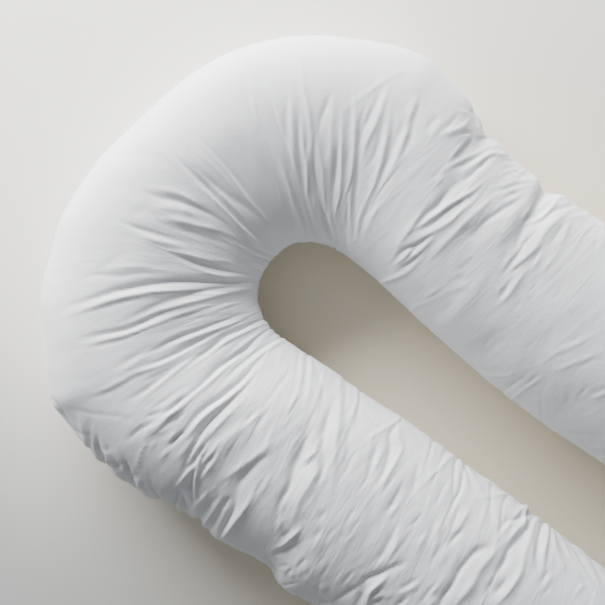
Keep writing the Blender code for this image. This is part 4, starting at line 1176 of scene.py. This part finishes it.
@dataclass(frozen=True)
class FoldPress:
    """Presses the folds of the tables into the cloth.

    Attributes:
        grid: The grid that the folds are marked on.
        depth_share: Depth pressed, as a share of the depth marked.
        width_share: Half-width pressed, as a share of the one marked.
        end_fade: Share of a route, at each end, over which its fold dies away.
        end_width: Width of a fold at its ends, as a share of its full width.
        crest: How round the top of the profile is.
        flank: How steep its flanks are.
        run_on: A route that ends this near to the outer or inner seam runs over it, in marks.
        run_past: How far it runs past the seam, in marks.
        wander: How much deeper and shallower a fold is by turns along the way.
        lee_way: (column, row) direction away from the window.
        lee_share: How far a fold's middle lies from its marked flank, in half-widths.
        lee_turn: How soon the marked flank changes sides as a route turns past the window.
        fold_start: Height over the floor at which folds begin.
        fold_full: Height at which they have their full depth.
        draw_out: How much longer each route is made at both ends, as a share.
        draw_most: The most that it is lengthened by, in marks.
        deepest: Depth in mm that no fold passes.
        least_half: Least half-width in mm, which the mesh can still hold.
        reach: How many half-widths from its route a fold is felt.
        under: How far under the seam a fold is felt.
    """

    grid: PatternGrid
    depth_share: float = 0.72
    width_share: float = 0.9
    end_fade: float = 0.42
    end_width: float = 0.45
    crest: float = 0.45
    flank: float = 1.25
    run_on: Pair = (7.0, 14.0)
    run_past: float = 16.0
    wander: float = 0.16
    lee_way: Pair = (0.438, 0.899)
    lee_share: float = 0.75
    lee_turn: float = 3.0
    fold_start: float = 0.040
    fold_full: float = 0.080
    draw_out: float = 0.22
    draw_most: float = 14.0
    deepest: float = 9.0
    least_half: float = 1.8
    reach: float = 4.5
    under: float = 0.04
    seed: int = 11

    def runs_over(self, stops: Array) -> Array:
        """Lengthens a route that ends near a seam, so that its fold runs on over the edge.

        Args:
            stops: (column, row) marks of the route.

        Returns:
            The marks, with one more past the seam at each such end.
        """
        for seam, run_on in zip(Seam, self.run_on):
            edge = smooth_route(SEAM_PATHS[seam].marks)
            for end in (0, -1):
                inner = stops[1 if end == 0 else -2]
                gap = np.linalg.norm(edge - stops[end], axis=1)
                if gap.min() > run_on:
                    continue
                way = stops[end] - inner
                way = way / np.linalg.norm(way)
                past = stops[end] + way * (gap.min() + self.run_past)
                parts = [past[None], stops] if end == 0 else [stops, past[None]]
                stops = np.concatenate(parts)
        return stops

    def to_lee(self, stops: Array, half: float) -> Array:
        """Moves a fold's line from its shaded or bright flank, where it was marked, to its middle.

        Args:
            stops: (column, row) marks along the route.
            half: The fold's half-width in marks.

        Returns:
            The marks, moved square to the route and away from the window.
        """
        way = np.gradient(stops, axis=0)
        way /= np.linalg.norm(way, axis=1, keepdims=True)
        square = np.stack([-way[:, 1], way[:, 0]], axis=1)
        side = np.tanh(self.lee_turn * square @ np.array(self.lee_way))
        return stops + self.lee_share * half * side[:, None] * square

    def drawn_out(self, stops: Array) -> Array:
        """A route lengthened a little at both ends, where its fold dies away.

        Args:
            stops: (column, row) marks along the route.

        Returns:
            The marks, with one more at each end.
        """
        first, last = stops[0] - stops[1], stops[-1] - stops[-2]
        length = np.linalg.norm(np.diff(stops, axis=0), axis=1).sum()
        more = min(self.draw_out * length, self.draw_most)
        start = stops[0] + first / np.linalg.norm(first) * more
        end = stops[-1] + last / np.linalg.norm(last) * more
        return np.concatenate([start[None], stops, end[None]])

    def profile(self, across: Array) -> Array:
        """Height across a fold, 1 on its line: a round crest between long flanks that level out."""
        return np.exp(self.crest - np.sqrt(self.crest**2 + (self.flank * across) ** 2))

    def relief(self, surface: CaseSurface, table: FoldTable) -> Array:
        """How far the folds move each point outwards.

        Each fold is a trough or ridge across its route, dies away and narrows at both ends,
        and is a little deeper and shallower by turns along the way.

        Args:
            surface: The cloth.
            table: The folds.

        Returns:
            The relief in metres, as a (station, ring) grid.
        """
        height = surface.points[..., 2].ravel()
        marks = self.grid.marks(surface.points).reshape(-1, 2)
        pitch = self.grid.pitch_at(height)
        over = (surface.from_seam.ravel() > -self.under) & (height > self.fold_start)
        shown = smooth_step(height, self.fold_start, self.fold_full)
        relief = np.zeros(len(height))
        draw = np.random.default_rng(self.seed)
        for depth, half_width, route in table.rows:
            waves, phase = draw.uniform(1.0, 3.0), draw.uniform(0, 2 * math.pi)
            half = max(half_width * self.width_share, self.least_half) * MM
            depth = self.deepest * math.tanh(depth / self.deepest)
            stops = smooth_route(self.drawn_out(self.runs_over(np.add(route, table.shift))))
            stops = self.to_lee(stops, half / self.grid.pitch)
            margin = self.reach * half / pitch.min()
            inside = (marks > stops.min(axis=0) - margin) & (marks < stops.max(axis=0) + margin)
            near = np.flatnonzero(inside.all(axis=1) & over)
            gap, share = route_distance(marks[near], stops)
            fade = smooth_step(share, 0.0, self.end_fade) * smooth_step(1 - share, 0.0, self.end_fade)
            narrow = self.end_width + (1 - self.end_width) * fade
            across = gap * pitch[near] / (half * narrow)
            swell = 1 + self.wander * np.sin(2 * math.pi * waves * share + phase)
            relief[near] -= depth * MM * fade * swell * self.profile(across)
        share = self.depth_share * table.share
        return (relief * shown * share).reshape(surface.points.shape[:2])


@dataclass(frozen=True)
class Wrinkling:
    """Small seeded folds between the main ones, and the soft lumps of the filling.

    Attributes:
        grid: The grid that the wrinkled patches are marked on.
        fine_scale: How many times smaller the finer lumps are.
        fine_height: Their height, as a share of the wide ones'.
        base: How wrinkled the cloth is away from every patch.
        panel_width: Width of the panel, for the wrinkles that run across it.
        soften: How round the valleys are.
        mean_ridge: Level taken off, so that the wrinkles add no thickness.
        rise: Over which heights the wrinkles come in.
        layers: Height, spacing along the centreline, length across the panel and lean of each.
    """

    grid: PatternGrid
    lump_height: float = 0.0020
    lump_length: float = 0.110
    fine_scale: float = 2.1
    fine_height: float = 0.5
    base: float = 0.25
    panel_width: float = 0.45
    soften: float = 0.01
    mean_ridge: float = 0.45
    rise: Pair = (0.03, 0.07)
    seed: int = 23
    layers: tuple[tuple[float, float, float, float], ...] = (
        (0.0008, 0.026, 0.16, 0.25),
        (0.0005, 0.015, 0.11, -0.20),
        (0.0003, 0.008, 0.07, 0.10),
    )

    def lumps(self, surface: CaseSurface) -> Array:
        """Relief of the filling: two layers of wide smooth noise over the plan.

        Args:
            surface: The cloth.

        Returns:
            The relief in metres, as a (station, ring) grid.
        """
        x, y = surface.points[..., :2].transpose(2, 0, 1) / self.lump_length
        # Each layer of noise is read from its own part of the lattice.
        wide = lattice_noise(x + 40, y + 40, self.seed)
        fine = lattice_noise(self.fine_scale * x + 90, self.fine_scale * y + 60, self.seed + 1)
        return self.lump_height * (wide + self.fine_height * fine)

    def strength(self, surface: CaseSurface) -> Array:
        """How wrinkled the cloth is: most at the inner seam of the bend and on the legs."""
        return self.grid.patches(surface.points, self.base, WRINKLE_PATCHES)

    def relief(self, surface: CaseSurface) -> Array:
        """Relief of the small folds: layers of noise drawn out across the panel, so that in the
        bend they fan out of the opening. Tops are round and valleys narrow.

        Args:
            surface: The cloth.

        Returns:
            The relief in metres, as a (station, ring) grid.
        """
        along = np.broadcast_to(surface.along[:, None], surface.from_seam.shape)
        width = surface.inner_share * self.panel_width
        relief = np.zeros(along.shape)
        for index, (height, spacing, length, lean) in enumerate(self.layers):
            x = (along + lean * width) / spacing + 300
            y = width / length + 20 + index
            noise = lattice_noise(x, y, self.seed + 5 + index)
            relief += height * (np.sqrt(noise**2 + self.soften) - self.mean_ridge)
        top = smooth_step(surface.points[..., 2], *self.rise)
        return relief * self.strength(surface) * top


@dataclass(frozen=True)
class SeamFinish:
    """The stitching's groove, and the small gathers that it leaves in the cloth beside it.

    Attributes:
        grid: The grid that the gathered stretches are marked on.
        pucker_reach: How far the gathers take to die away.
        pucker_start: Where they are highest, from the seam.
        fine_spacing: Spacing of the finer gathers, as a share of the main ones'.
        fine_height: Their height, as a share of the main ones'.
        soften: How round the valleys are.
        mean_ridge: Level taken off, so that the gathers add no thickness.
        base: How gathered the seam is away from the stretches.
        rise: Over which heights groove and gathers come in.
    """

    form: CaseForm
    grid: PatternGrid
    groove_width: float = 0.0045
    pucker_height: float = 0.0016
    pucker_spacing: float = 0.017
    pucker_reach: float = 0.022
    pucker_start: float = 0.004
    fine_spacing: float = 0.45
    fine_height: float = 0.4
    soften: float = 0.02
    mean_ridge: float = 0.5
    base: float = 0.45
    rise: Pair = (0.002, 0.02)
    seed: int = 57

    def relief(self, surface: CaseSurface) -> Array:
        """Relief of the seams: a narrow bell-shaped groove, and puckers that die away from it.

        Args:
            surface: The cloth.

        Returns:
            The relief in metres, as a (station, ring) grid.
        """
        groove = -self.form.seam_draw * np.exp(-((surface.from_seam / self.groove_width) ** 2))
        reach = np.hypot(surface.points[..., 0], surface.points[..., 1].clip(0))
        turn = surface.along.clip(0, self.form.bend_length) / self.form.bend_radius
        straight = surface.along - turn * self.form.bend_radius
        stitch = straight[:, None] + turn[:, None] * reach
        side = np.where(surface.inner_share > 0.5, 40.0, 0.0)
        wide = lattice_noise(stitch / self.pucker_spacing + 400, side, self.seed)
        fine_spacing = self.fine_spacing * self.pucker_spacing
        fine = lattice_noise(stitch / fine_spacing + 900, side, self.seed + 1)
        shape = np.sqrt((wide + self.fine_height * fine) ** 2 + self.soften) - self.mean_ridge
        near = np.exp(-((np.abs(surface.from_seam) - self.pucker_start) / self.pucker_reach) ** 2)
        strength = self.grid.patches(surface.points, self.base, RIM_PATCHES)
        lift = smooth_step(surface.points[..., 2], *self.rise)
        return (groove + self.pucker_height * strength * shape * near) * lift


class Finish:
    """A new material, with a short way to add nodes to it."""

    def __init__(self, name: str, roughness: float, specular: float) -> None:
        """Starts the material as a plain surface.

        Args:
            name: The material's name.
            roughness: How matt it is.
            specular: How much it shines.
        """
        self.material = bpy.data.materials.new(name)
        self.material.use_nodes = True
        self.tree = self.material.node_tree
        self.shader = self.tree.nodes["Principled BSDF"]
        self.shader.inputs["Roughness"].default_value = roughness
        self.shader.inputs["Specular IOR Level"].default_value = specular

    def add(
        self,
        kind: str,
        values: dict[str | int, Value] | None = None,
        sources: dict[str | int, bpy.types.NodeSocket] | None = None,
        **settings: str,
    ) -> bpy.types.Node:
        """Adds a node.

        Args:
            kind: Its type, less the word ShaderNode.
            values: What its inputs are set to.
            sources: The outputs that feed its inputs.
            settings: Its own settings.

        Returns:
            The node.
        """
        node = self.tree.nodes.new("ShaderNode" + kind)
        for setting, value in settings.items():
            setattr(node, setting, value)
        for key, value in (values or {}).items():
            node.inputs[key].default_value = value
        for key, source in (sources or {}).items():
            self.tree.links.new(source, node.inputs[key])
        return node

    def attribute(self, name: str) -> bpy.types.NodeSocket:
        """One of the mesh's own attributes, as a vector."""
        return self.add("Attribute", attribute_name=name).outputs["Vector"]

    def stretched(self, vector: bpy.types.NodeSocket, scale: Vector3) -> bpy.types.NodeSocket:
        """A vector, scaled along each axis."""
        return self.add("Mapping", {"Scale": scale}, {"Vector": vector}).outputs["Vector"]

    def noise(
        self, vector: bpy.types.NodeSocket, scale: float, detail: float, **more: float | str
    ) -> bpy.types.NodeSocket:
        """A noise texture.

        Args:
            vector: Where it is read.
            scale: How many of its waves fit in one unit.
            detail: How many finer layers it has.
            more: Its noise_type, or other inputs by their lower-case names.

        Returns:
            Its height.
        """
        kind = more.pop("noise_type", "FBM")
        values = {"Scale": scale, "Detail": detail} | {key.capitalize(): value for key, value in more.items()}
        return self.add("TexNoise", values, {"Vector": vector}, noise_type=kind).outputs["Fac"]

    def math(
        self, operation: str, first: bpy.types.NodeSocket, second: bpy.types.NodeSocket
    ) -> bpy.types.NodeSocket:
        """The sum, product or other result of two values."""
        return self.add("Math", sources={0: first, 1: second}, operation=operation).outputs[0]

    def blend(self, share: bpy.types.NodeSocket, first: Colour, second: Colour) -> bpy.types.Node:
        """A blend of two colours, first where share is 0 and second where it is 1."""
        return self.add("Mix", {"A": first, "B": second}, {"Factor": share}, data_type="RGBA")

    def link(self, source: bpy.types.NodeSocket, target: bpy.types.NodeSocket) -> None:
        """Feeds an input from an output."""
        self.tree.links.new(source, target)


@dataclass(frozen=True)
class CottonFinish:
    """Washed white cotton in a fine plain weave.

    Attributes:
        colour: The cotton where it is whitest.
        shade: The cotton where it is greyest.
        thread: Pitch of the weave.
        thread_waver: How unevenly the threads lie.
        waver_scale: How closely that unevenness is spaced.
        slub_length: Length of a thick place in a thread.
        slub_slimness: Its length over its width.
        creases: Fine gathers along the small folds: spacing, length and height of each layer.
        crease_waver: How unevenly they run.
        patches: How many patches of shade fit in a metre.
    """

    name: str = "white_cotton"
    colour: Colour = (0.81, 0.82, 0.845, 1.0)
    shade: Colour = (0.78, 0.79, 0.815, 1.0)
    roughness: float = 0.88
    specular: float = 0.25
    sheen: float = 0.25
    sheen_roughness: float = 0.5
    thread: float = 0.0006
    thread_height: float = 0.00005
    thread_waver: float = 0.6
    waver_scale: float = 0.4
    slub_length: float = 0.016
    slub_slimness: float = 14.0
    slub_height: float = 0.00012
    crinkle_size: float = 0.0045
    crinkle_height: float = 0.00035
    creases: tuple[Vector3, ...] = (
        (0.019, 0.100, 0.0014),
        (0.0070, 0.040, 0.0006),
    )
    crease_waver: float = 0.6
    patches: float = 14.0

    def weave(self, finish: Finish, flat: bpy.types.NodeSocket) -> bpy.types.NodeSocket:
        """Warp and weft as two waves, square to each other.

        Args:
            finish: The material.
            flat: Place on the flat cut of the panel, so that the weave keeps its size where
                the panel curves down.

        Returns:
            The height of the weave.
        """
        values = {
            "Scale": 2 * math.pi / (WAVE_RATE * self.thread),
            "Distortion": self.thread_waver,
            "Detail Scale": self.waver_scale,
        }
        waves = [
            finish.add("TexWave", values, {"Vector": flat}, bands_direction=direction).outputs["Fac"]
            for direction in ("X", "Y")
        ]
        return finish.math("MULTIPLY", *waves)

    def slubs(self, finish: Finish, flat: bpy.types.NodeSocket) -> bpy.types.NodeSocket:
        """Long thin noise along the warp, added to the same along the weft.

        Args:
            finish: The material.
            flat: Place on the flat cut of the panel.

        Returns:
            The height of the slubs.
        """
        long, thin = 1 / self.slub_length, self.slub_slimness / self.slub_length
        ways = [
            finish.noise(finish.stretched(flat, scale), 1.0, 2.0)
            for scale in ((long, thin, 1.0), (thin, long, 1.0))
        ]
        return finish.math("ADD", *ways)

    def gathers(self, finish: Finish) -> list[tuple[bpy.types.NodeSocket, float]]:
        """Fine gathers: ridged noise drawn out along the small folds.

        Args:
            finish: The material.

        Returns:
            The height of each layer, and how far it rises.
        """
        fan = finish.attribute("fan")
        strength = finish.add("SeparateXYZ", sources={"Vector": fan}).outputs["Z"]
        layers = []
        for spacing, length, height in self.creases:
            along = finish.stretched(fan, (1 / spacing, 1 / length, 0.0))
            ridges = finish.noise(
                along, 1.0, 2.0, distortion=self.crease_waver, noise_type="RIDGED_MULTIFRACTAL"
            )
            layers.append((finish.math("MULTIPLY", ridges, strength), height))
        return layers

    def material(self) -> bpy.types.Material:
        """The cotton: gathers, crinkles, slubs and the weave as bumps over patches of shade.

        Returns:
            The new material. It reads the mesh's flat_cut and fan attributes.
        """
        finish = Finish(self.name, self.roughness, self.specular)
        finish.shader.inputs["Sheen Weight"].default_value = self.sheen
        finish.shader.inputs["Sheen Roughness"].default_value = self.sheen_roughness
        flat = finish.attribute("flat_cut")
        place = finish.add("TexCoord").outputs["Object"]
        slub = self.slubs(finish, flat)
        crinkle = finish.noise(place, 1 / self.crinkle_size, 3.0, roughness=0.6)
        normal = None
        for height, distance in (
            *self.gathers(finish),
            (crinkle, self.crinkle_height),
            (slub, self.slub_height),
            (self.weave(finish, flat), self.thread_height),
        ):
            sources = {"Height": height} | ({} if normal is None else {"Normal": normal})
            bump = finish.add("Bump", {"Strength": 1.0, "Distance": distance}, sources)
            normal = bump.outputs["Normal"]
        finish.link(normal, finish.shader.inputs["Normal"])

        patch = finish.noise(place, self.patches, 4.0)
        tone = finish.blend(finish.math("MULTIPLY", patch, slub), self.colour, self.shade)
        finish.link(tone.outputs["Result"], finish.shader.inputs["Base Color"])
        return finish.material


@dataclass(frozen=True)
class PaintedFloor:
    """The pale matt floor under the pillow: a painted warm tint of shade in the middle, painted grey shade on
    one side.

    Attributes:
        colour: The floor away from both.
        painted_warm_shade: Painted warm tint of the shaded floor round the pillow, in the middle.
        painted_warm_shade_centre: The middle of the painted warm tint.
        painted_warm_shade_reach: How far from it the painted warm tint lasts, and where it has gone.
        painted_side_shade: Painted shade, the grey that the floor darkens to at one side.
        painted_side_shade_way: Direction of the painted shade.
        painted_side_shade_reach: How far that way the painted shade begins, and where it is full.
    """

    name: str = "pale_floor"
    colour: Colour = (0.865, 0.84, 0.78, 1.0)
    # Painted warm tint of the shaded floor round the pillow.
    painted_warm_shade: Colour = (0.94, 0.855, 0.66, 1.0)
    painted_warm_shade_centre: Vector3 = (0.0, 0.05, 0.0)
    painted_warm_shade_reach: Pair = (0.28, 0.70)
    # Painted shade: the floor darkens to this grey towards one side.
    painted_side_shade: Colour = (0.46, 0.47, 0.45, 1.0)
    painted_side_shade_way: Vector3 = (-0.99, 0.13, 0.0)
    painted_side_shade_reach: Pair = (0.36, 0.755)
    roughness: float = 0.7
    specular: float = 0.2

    def material(self) -> bpy.types.Material:
        """Matt paint with painted shade: warm by distance from painted_warm_shade_centre, grey along
        painted_side_shade_way.

        Returns:
            The new material.
        """
        finish = Finish(self.name, self.roughness, self.specular)
        place = finish.add("TexCoord").outputs["Object"]
        tone = None
        # Painted light: first a warm tint of shade round the middle, then a darker grey shade towards one
        # side.
        for operation, other, (near, far), after in (
            ("DISTANCE", self.painted_warm_shade_centre, self.painted_warm_shade_reach, self.colour),
            ("DOT_PRODUCT", self.painted_side_shade_way, self.painted_side_shade_reach, self.painted_side_shade),
        ):
            measure = finish.add("VectorMath", {1: other}, {0: place}, operation=operation)
            share = finish.add(
                "MapRange",
                {"From Min": near, "From Max": far},
                {"Value": measure.outputs["Value"]},
                interpolation_type="SMOOTHSTEP",
            )
            blend = finish.blend(share.outputs["Result"], self.painted_warm_shade, after)
            if tone is not None:
                finish.link(tone, blend.inputs["A"])
            tone = blend.outputs["Result"]
        finish.link(tone, finish.shader.inputs["Base Color"])
        return finish.material


@dataclass
class BodyPillow:
    """The filled case, from its plump form to the finished cloth.

    Attributes:
        lump_rise: Over which heights the lumps of the filling come in.
        box_centre: Centre of the case in plan, from the centre of the bend.
    """

    form: CaseForm = field(default_factory=CaseForm)
    grid: PatternGrid = field(default_factory=PatternGrid)
    finish: CottonFinish = field(default_factory=CottonFinish)
    lump_rise: Pair = (0.02, 0.12)
    box_centre: Pair = (-0.0045, -0.3384)

    def cloth(self) -> CaseSurface:
        """The case with its lumps, folds, wrinkles and seams.

        Returns:
            The finished cloth, from the centre of the bend.
        """
        surface = self.form.surface(self.grid)
        wrinkling = Wrinkling(self.grid)
        rise = smooth_step(surface.points[..., 2], *self.lump_rise)
        surface = surface.raised(wrinkling.lumps(surface) * rise)
        surface = surface.moved(Settling().offset(surface, self.form))
        press = FoldPress(self.grid)
        relief = np.zeros(surface.from_seam.shape)
        for table in FOLD_TABLES:
            relief += press.relief(surface, table)
        relief += wrinkling.relief(surface)
        relief += SeamFinish(self.form, self.grid).relief(surface)
        surface.fan[..., 2] = wrinkling.strength(surface)
        return surface.raised(relief)

    def mesh(self, surface: CaseSurface) -> bpy.types.Mesh:
        """A closed mesh of the cloth: four-sided faces between stations, a fan at each tip.

        Args:
            surface: The cloth.

        Returns:
            The new mesh, with its flat_cut and fan attributes.
        """
        rows, ring = surface.points.shape[:2]
        tips = surface.points[[0, -1]].mean(axis=1)
        tips[:, 1] = -self.form.leg_length
        tips[:, 2] = self.form.seam_height
        points = np.concatenate([surface.points.reshape(-1, 3), tips])
        points[:, :2] -= self.box_centre
        flat_tips = surface.flat_cut[[0, -1]].mean(axis=1)
        flat = np.concatenate([surface.flat_cut.reshape(-1, 2), flat_tips])
        flat = np.concatenate([flat, np.zeros((len(flat), 1))], axis=1)
        fan = np.concatenate([surface.fan.reshape(-1, 3), surface.fan[[0, -1]].mean(axis=1)])

        row, spoke = np.meshgrid(np.arange(rows - 1), np.arange(ring), indexing="ij")
        after = (spoke + 1) % ring
        here = row * ring
        corners = [here + spoke, here + ring + spoke, here + ring + after, here + after]
        sides = np.stack(corners, axis=-1).reshape(-1)
        first = np.arange(ring)
        following = (first + 1) % ring
        last = (rows - 1) * ring
        start_cap = np.stack([first, following, np.full(ring, rows * ring)], axis=1).ravel()
        end_cap = np.stack([last + following, last + first, np.full(ring, rows * ring + 1)], axis=1).ravel()
        loops = np.concatenate([sides, start_cap, end_cap])
        totals = np.concatenate([np.full(len(sides) // 4, 4), np.full(2 * ring, 3)])
        starts = np.concatenate([[0], np.cumsum(totals)[:-1]])

        mesh = bpy.data.meshes.new("body_pillow_case")
        mesh.vertices.add(len(points))
        mesh.vertices.foreach_set("co", points.ravel().astype(np.float32))
        mesh.loops.add(len(loops))
        mesh.loops.foreach_set("vertex_index", loops.astype(np.int32))
        mesh.polygons.add(len(totals))
        mesh.polygons.foreach_set("loop_start", starts.astype(np.int32))
        mesh.polygons.foreach_set("use_smooth", np.ones(len(totals), bool))
        mesh.update(calc_edges=True)
        mesh.validate()
        for name, values in (("flat_cut", flat), ("fan", fan)):
            attribute = mesh.attributes.new(name, "FLOAT_VECTOR", "POINT")
            attribute.data.foreach_set("vector", values.ravel().astype(np.float32))
        return mesh

    def build(self) -> bpy.types.Object:
        """Builds and dresses the case, and places it in the frame.

        Returns:
            The pillow's object.
        """
        surface = self.cloth()
        pillow = bpy.data.objects.new("body_pillow_case", self.mesh(surface))
        pillow.data.materials.append(self.finish.material())
        bpy.context.scene.collection.objects.link(pillow)
        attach(pillow, "root")
        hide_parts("pillow")
        return pillow


@dataclass(frozen=True)
class Studio:
    """Floor, soft daylight from the side of the bend, and a camera straight overhead.

    Attributes:
        camera_right: Direction of the picture's right side.
        floor_drop: How far the floor lies under the pillow.
        window_way: Direction of the window in plan.
        window_aim: Height that the window's light is aimed at.
    """

    camera_at: Vector3 = (-0.0139, 0.3430, 1.9)
    camera_right: Vector3 = (0.6101, -0.7923, 0.0)
    lens: float = 68.8
    sensor_width: float = 36.0
    floor_side: float = 12.0
    floor_drop: float = 0.0003
    window_way: Pair = (0.4446, 0.8957)
    window_distance: float = 2.6
    window_elevation: float = math.radians(19)
    window_size: Pair = (2.7, 1.5)
    window_power: float = 380.0
    window_aim: float = 0.1
    sky_colour: Colour = (0.93, 0.96, 1.0, 1.0)
    sky_strength: float = 0.26

    def floor(self) -> bpy.types.Object:
        """A square sheet just under the pillow.

        Returns:
            The floor's object.
        """
        half = self.floor_side / 2
        sides = ((-half, -half), (half, -half), (half, half), (-half, half))
        corners = [(x, y, -self.floor_drop) for x, y in sides]
        mesh = bpy.data.meshes.new("floor")
        mesh.from_pydata(corners, [], [(0, 1, 2, 3)])
        mesh.materials.append(PaintedFloor().material())
        floor = bpy.data.objects.new("floor", mesh)
        bpy.context.scene.collection.objects.link(floor)
        return floor

    def lights(self) -> None:
        """One wide window light aimed at the bend, and an even pale sky."""
        data = bpy.data.lights.new("window", "AREA")
        data.shape = "RECTANGLE"
        data.size, data.size_y = self.window_size
        data.energy = self.window_power
        window = bpy.data.objects.new("window", data)
        level = self.window_distance * math.cos(self.window_elevation)
        rise = self.window_distance * math.sin(self.window_elevation)
        target = Vector((*self.camera_at[:2], self.window_aim))
        window.location = target + Vector((self.window_way[0] * level, self.window_way[1] * level, rise))
        aim = target - window.location
        window.rotation_euler = aim.to_track_quat("-Z", "Y").to_euler()
        bpy.context.scene.collection.objects.link(window)
        world = bpy.data.worlds.new("sky")
        world.use_nodes = True
        sky = world.node_tree.nodes["Background"]
        sky.inputs["Color"].default_value = self.sky_colour
        sky.inputs["Strength"].default_value = self.sky_strength
        bpy.context.scene.world = world

    def camera(self) -> bpy.types.Object:
        """The overhead camera, turned so that the legs run to the lower right.

        Returns:
            The scene's camera.
        """
        data = bpy.data.cameras.new("camera")
        data.lens = self.lens
        data.sensor_width = self.sensor_width
        camera = bpy.data.objects.new("camera", data)
        right = Vector(self.camera_right).normalized()
        up = Vector((0.0, 0.0, 1.0)).cross(right)
        turned = Matrix((right, up, (0.0, 0.0, 1.0))).transposed().to_4x4()
        camera.matrix_world = Matrix.Translation(self.camera_at) @ turned
        bpy.context.scene.collection.objects.link(camera)
        bpy.context.scene.camera = camera
        return camera


def report(piece: bpy.types.Object) -> None:
    """Logs a piece's name, faces and size."""
    size = " x ".join(f"{side * 1000:.0f}" for side in piece.dimensions)
    log.info("%s: %d faces, %s mm", piece.name, len(piece.data.polygons), size)


def main() -> None:
    """Builds the studio and the pillow."""
    logging.basicConfig(level=logging.INFO, format="%(name)s: %(message)s", stream=sys.stdout)
    studio = Studio()
    studio.camera()
    studio.lights()
    report(studio.floor())
    report(BodyPillow().build())


if __name__ == "__main__":
    main()
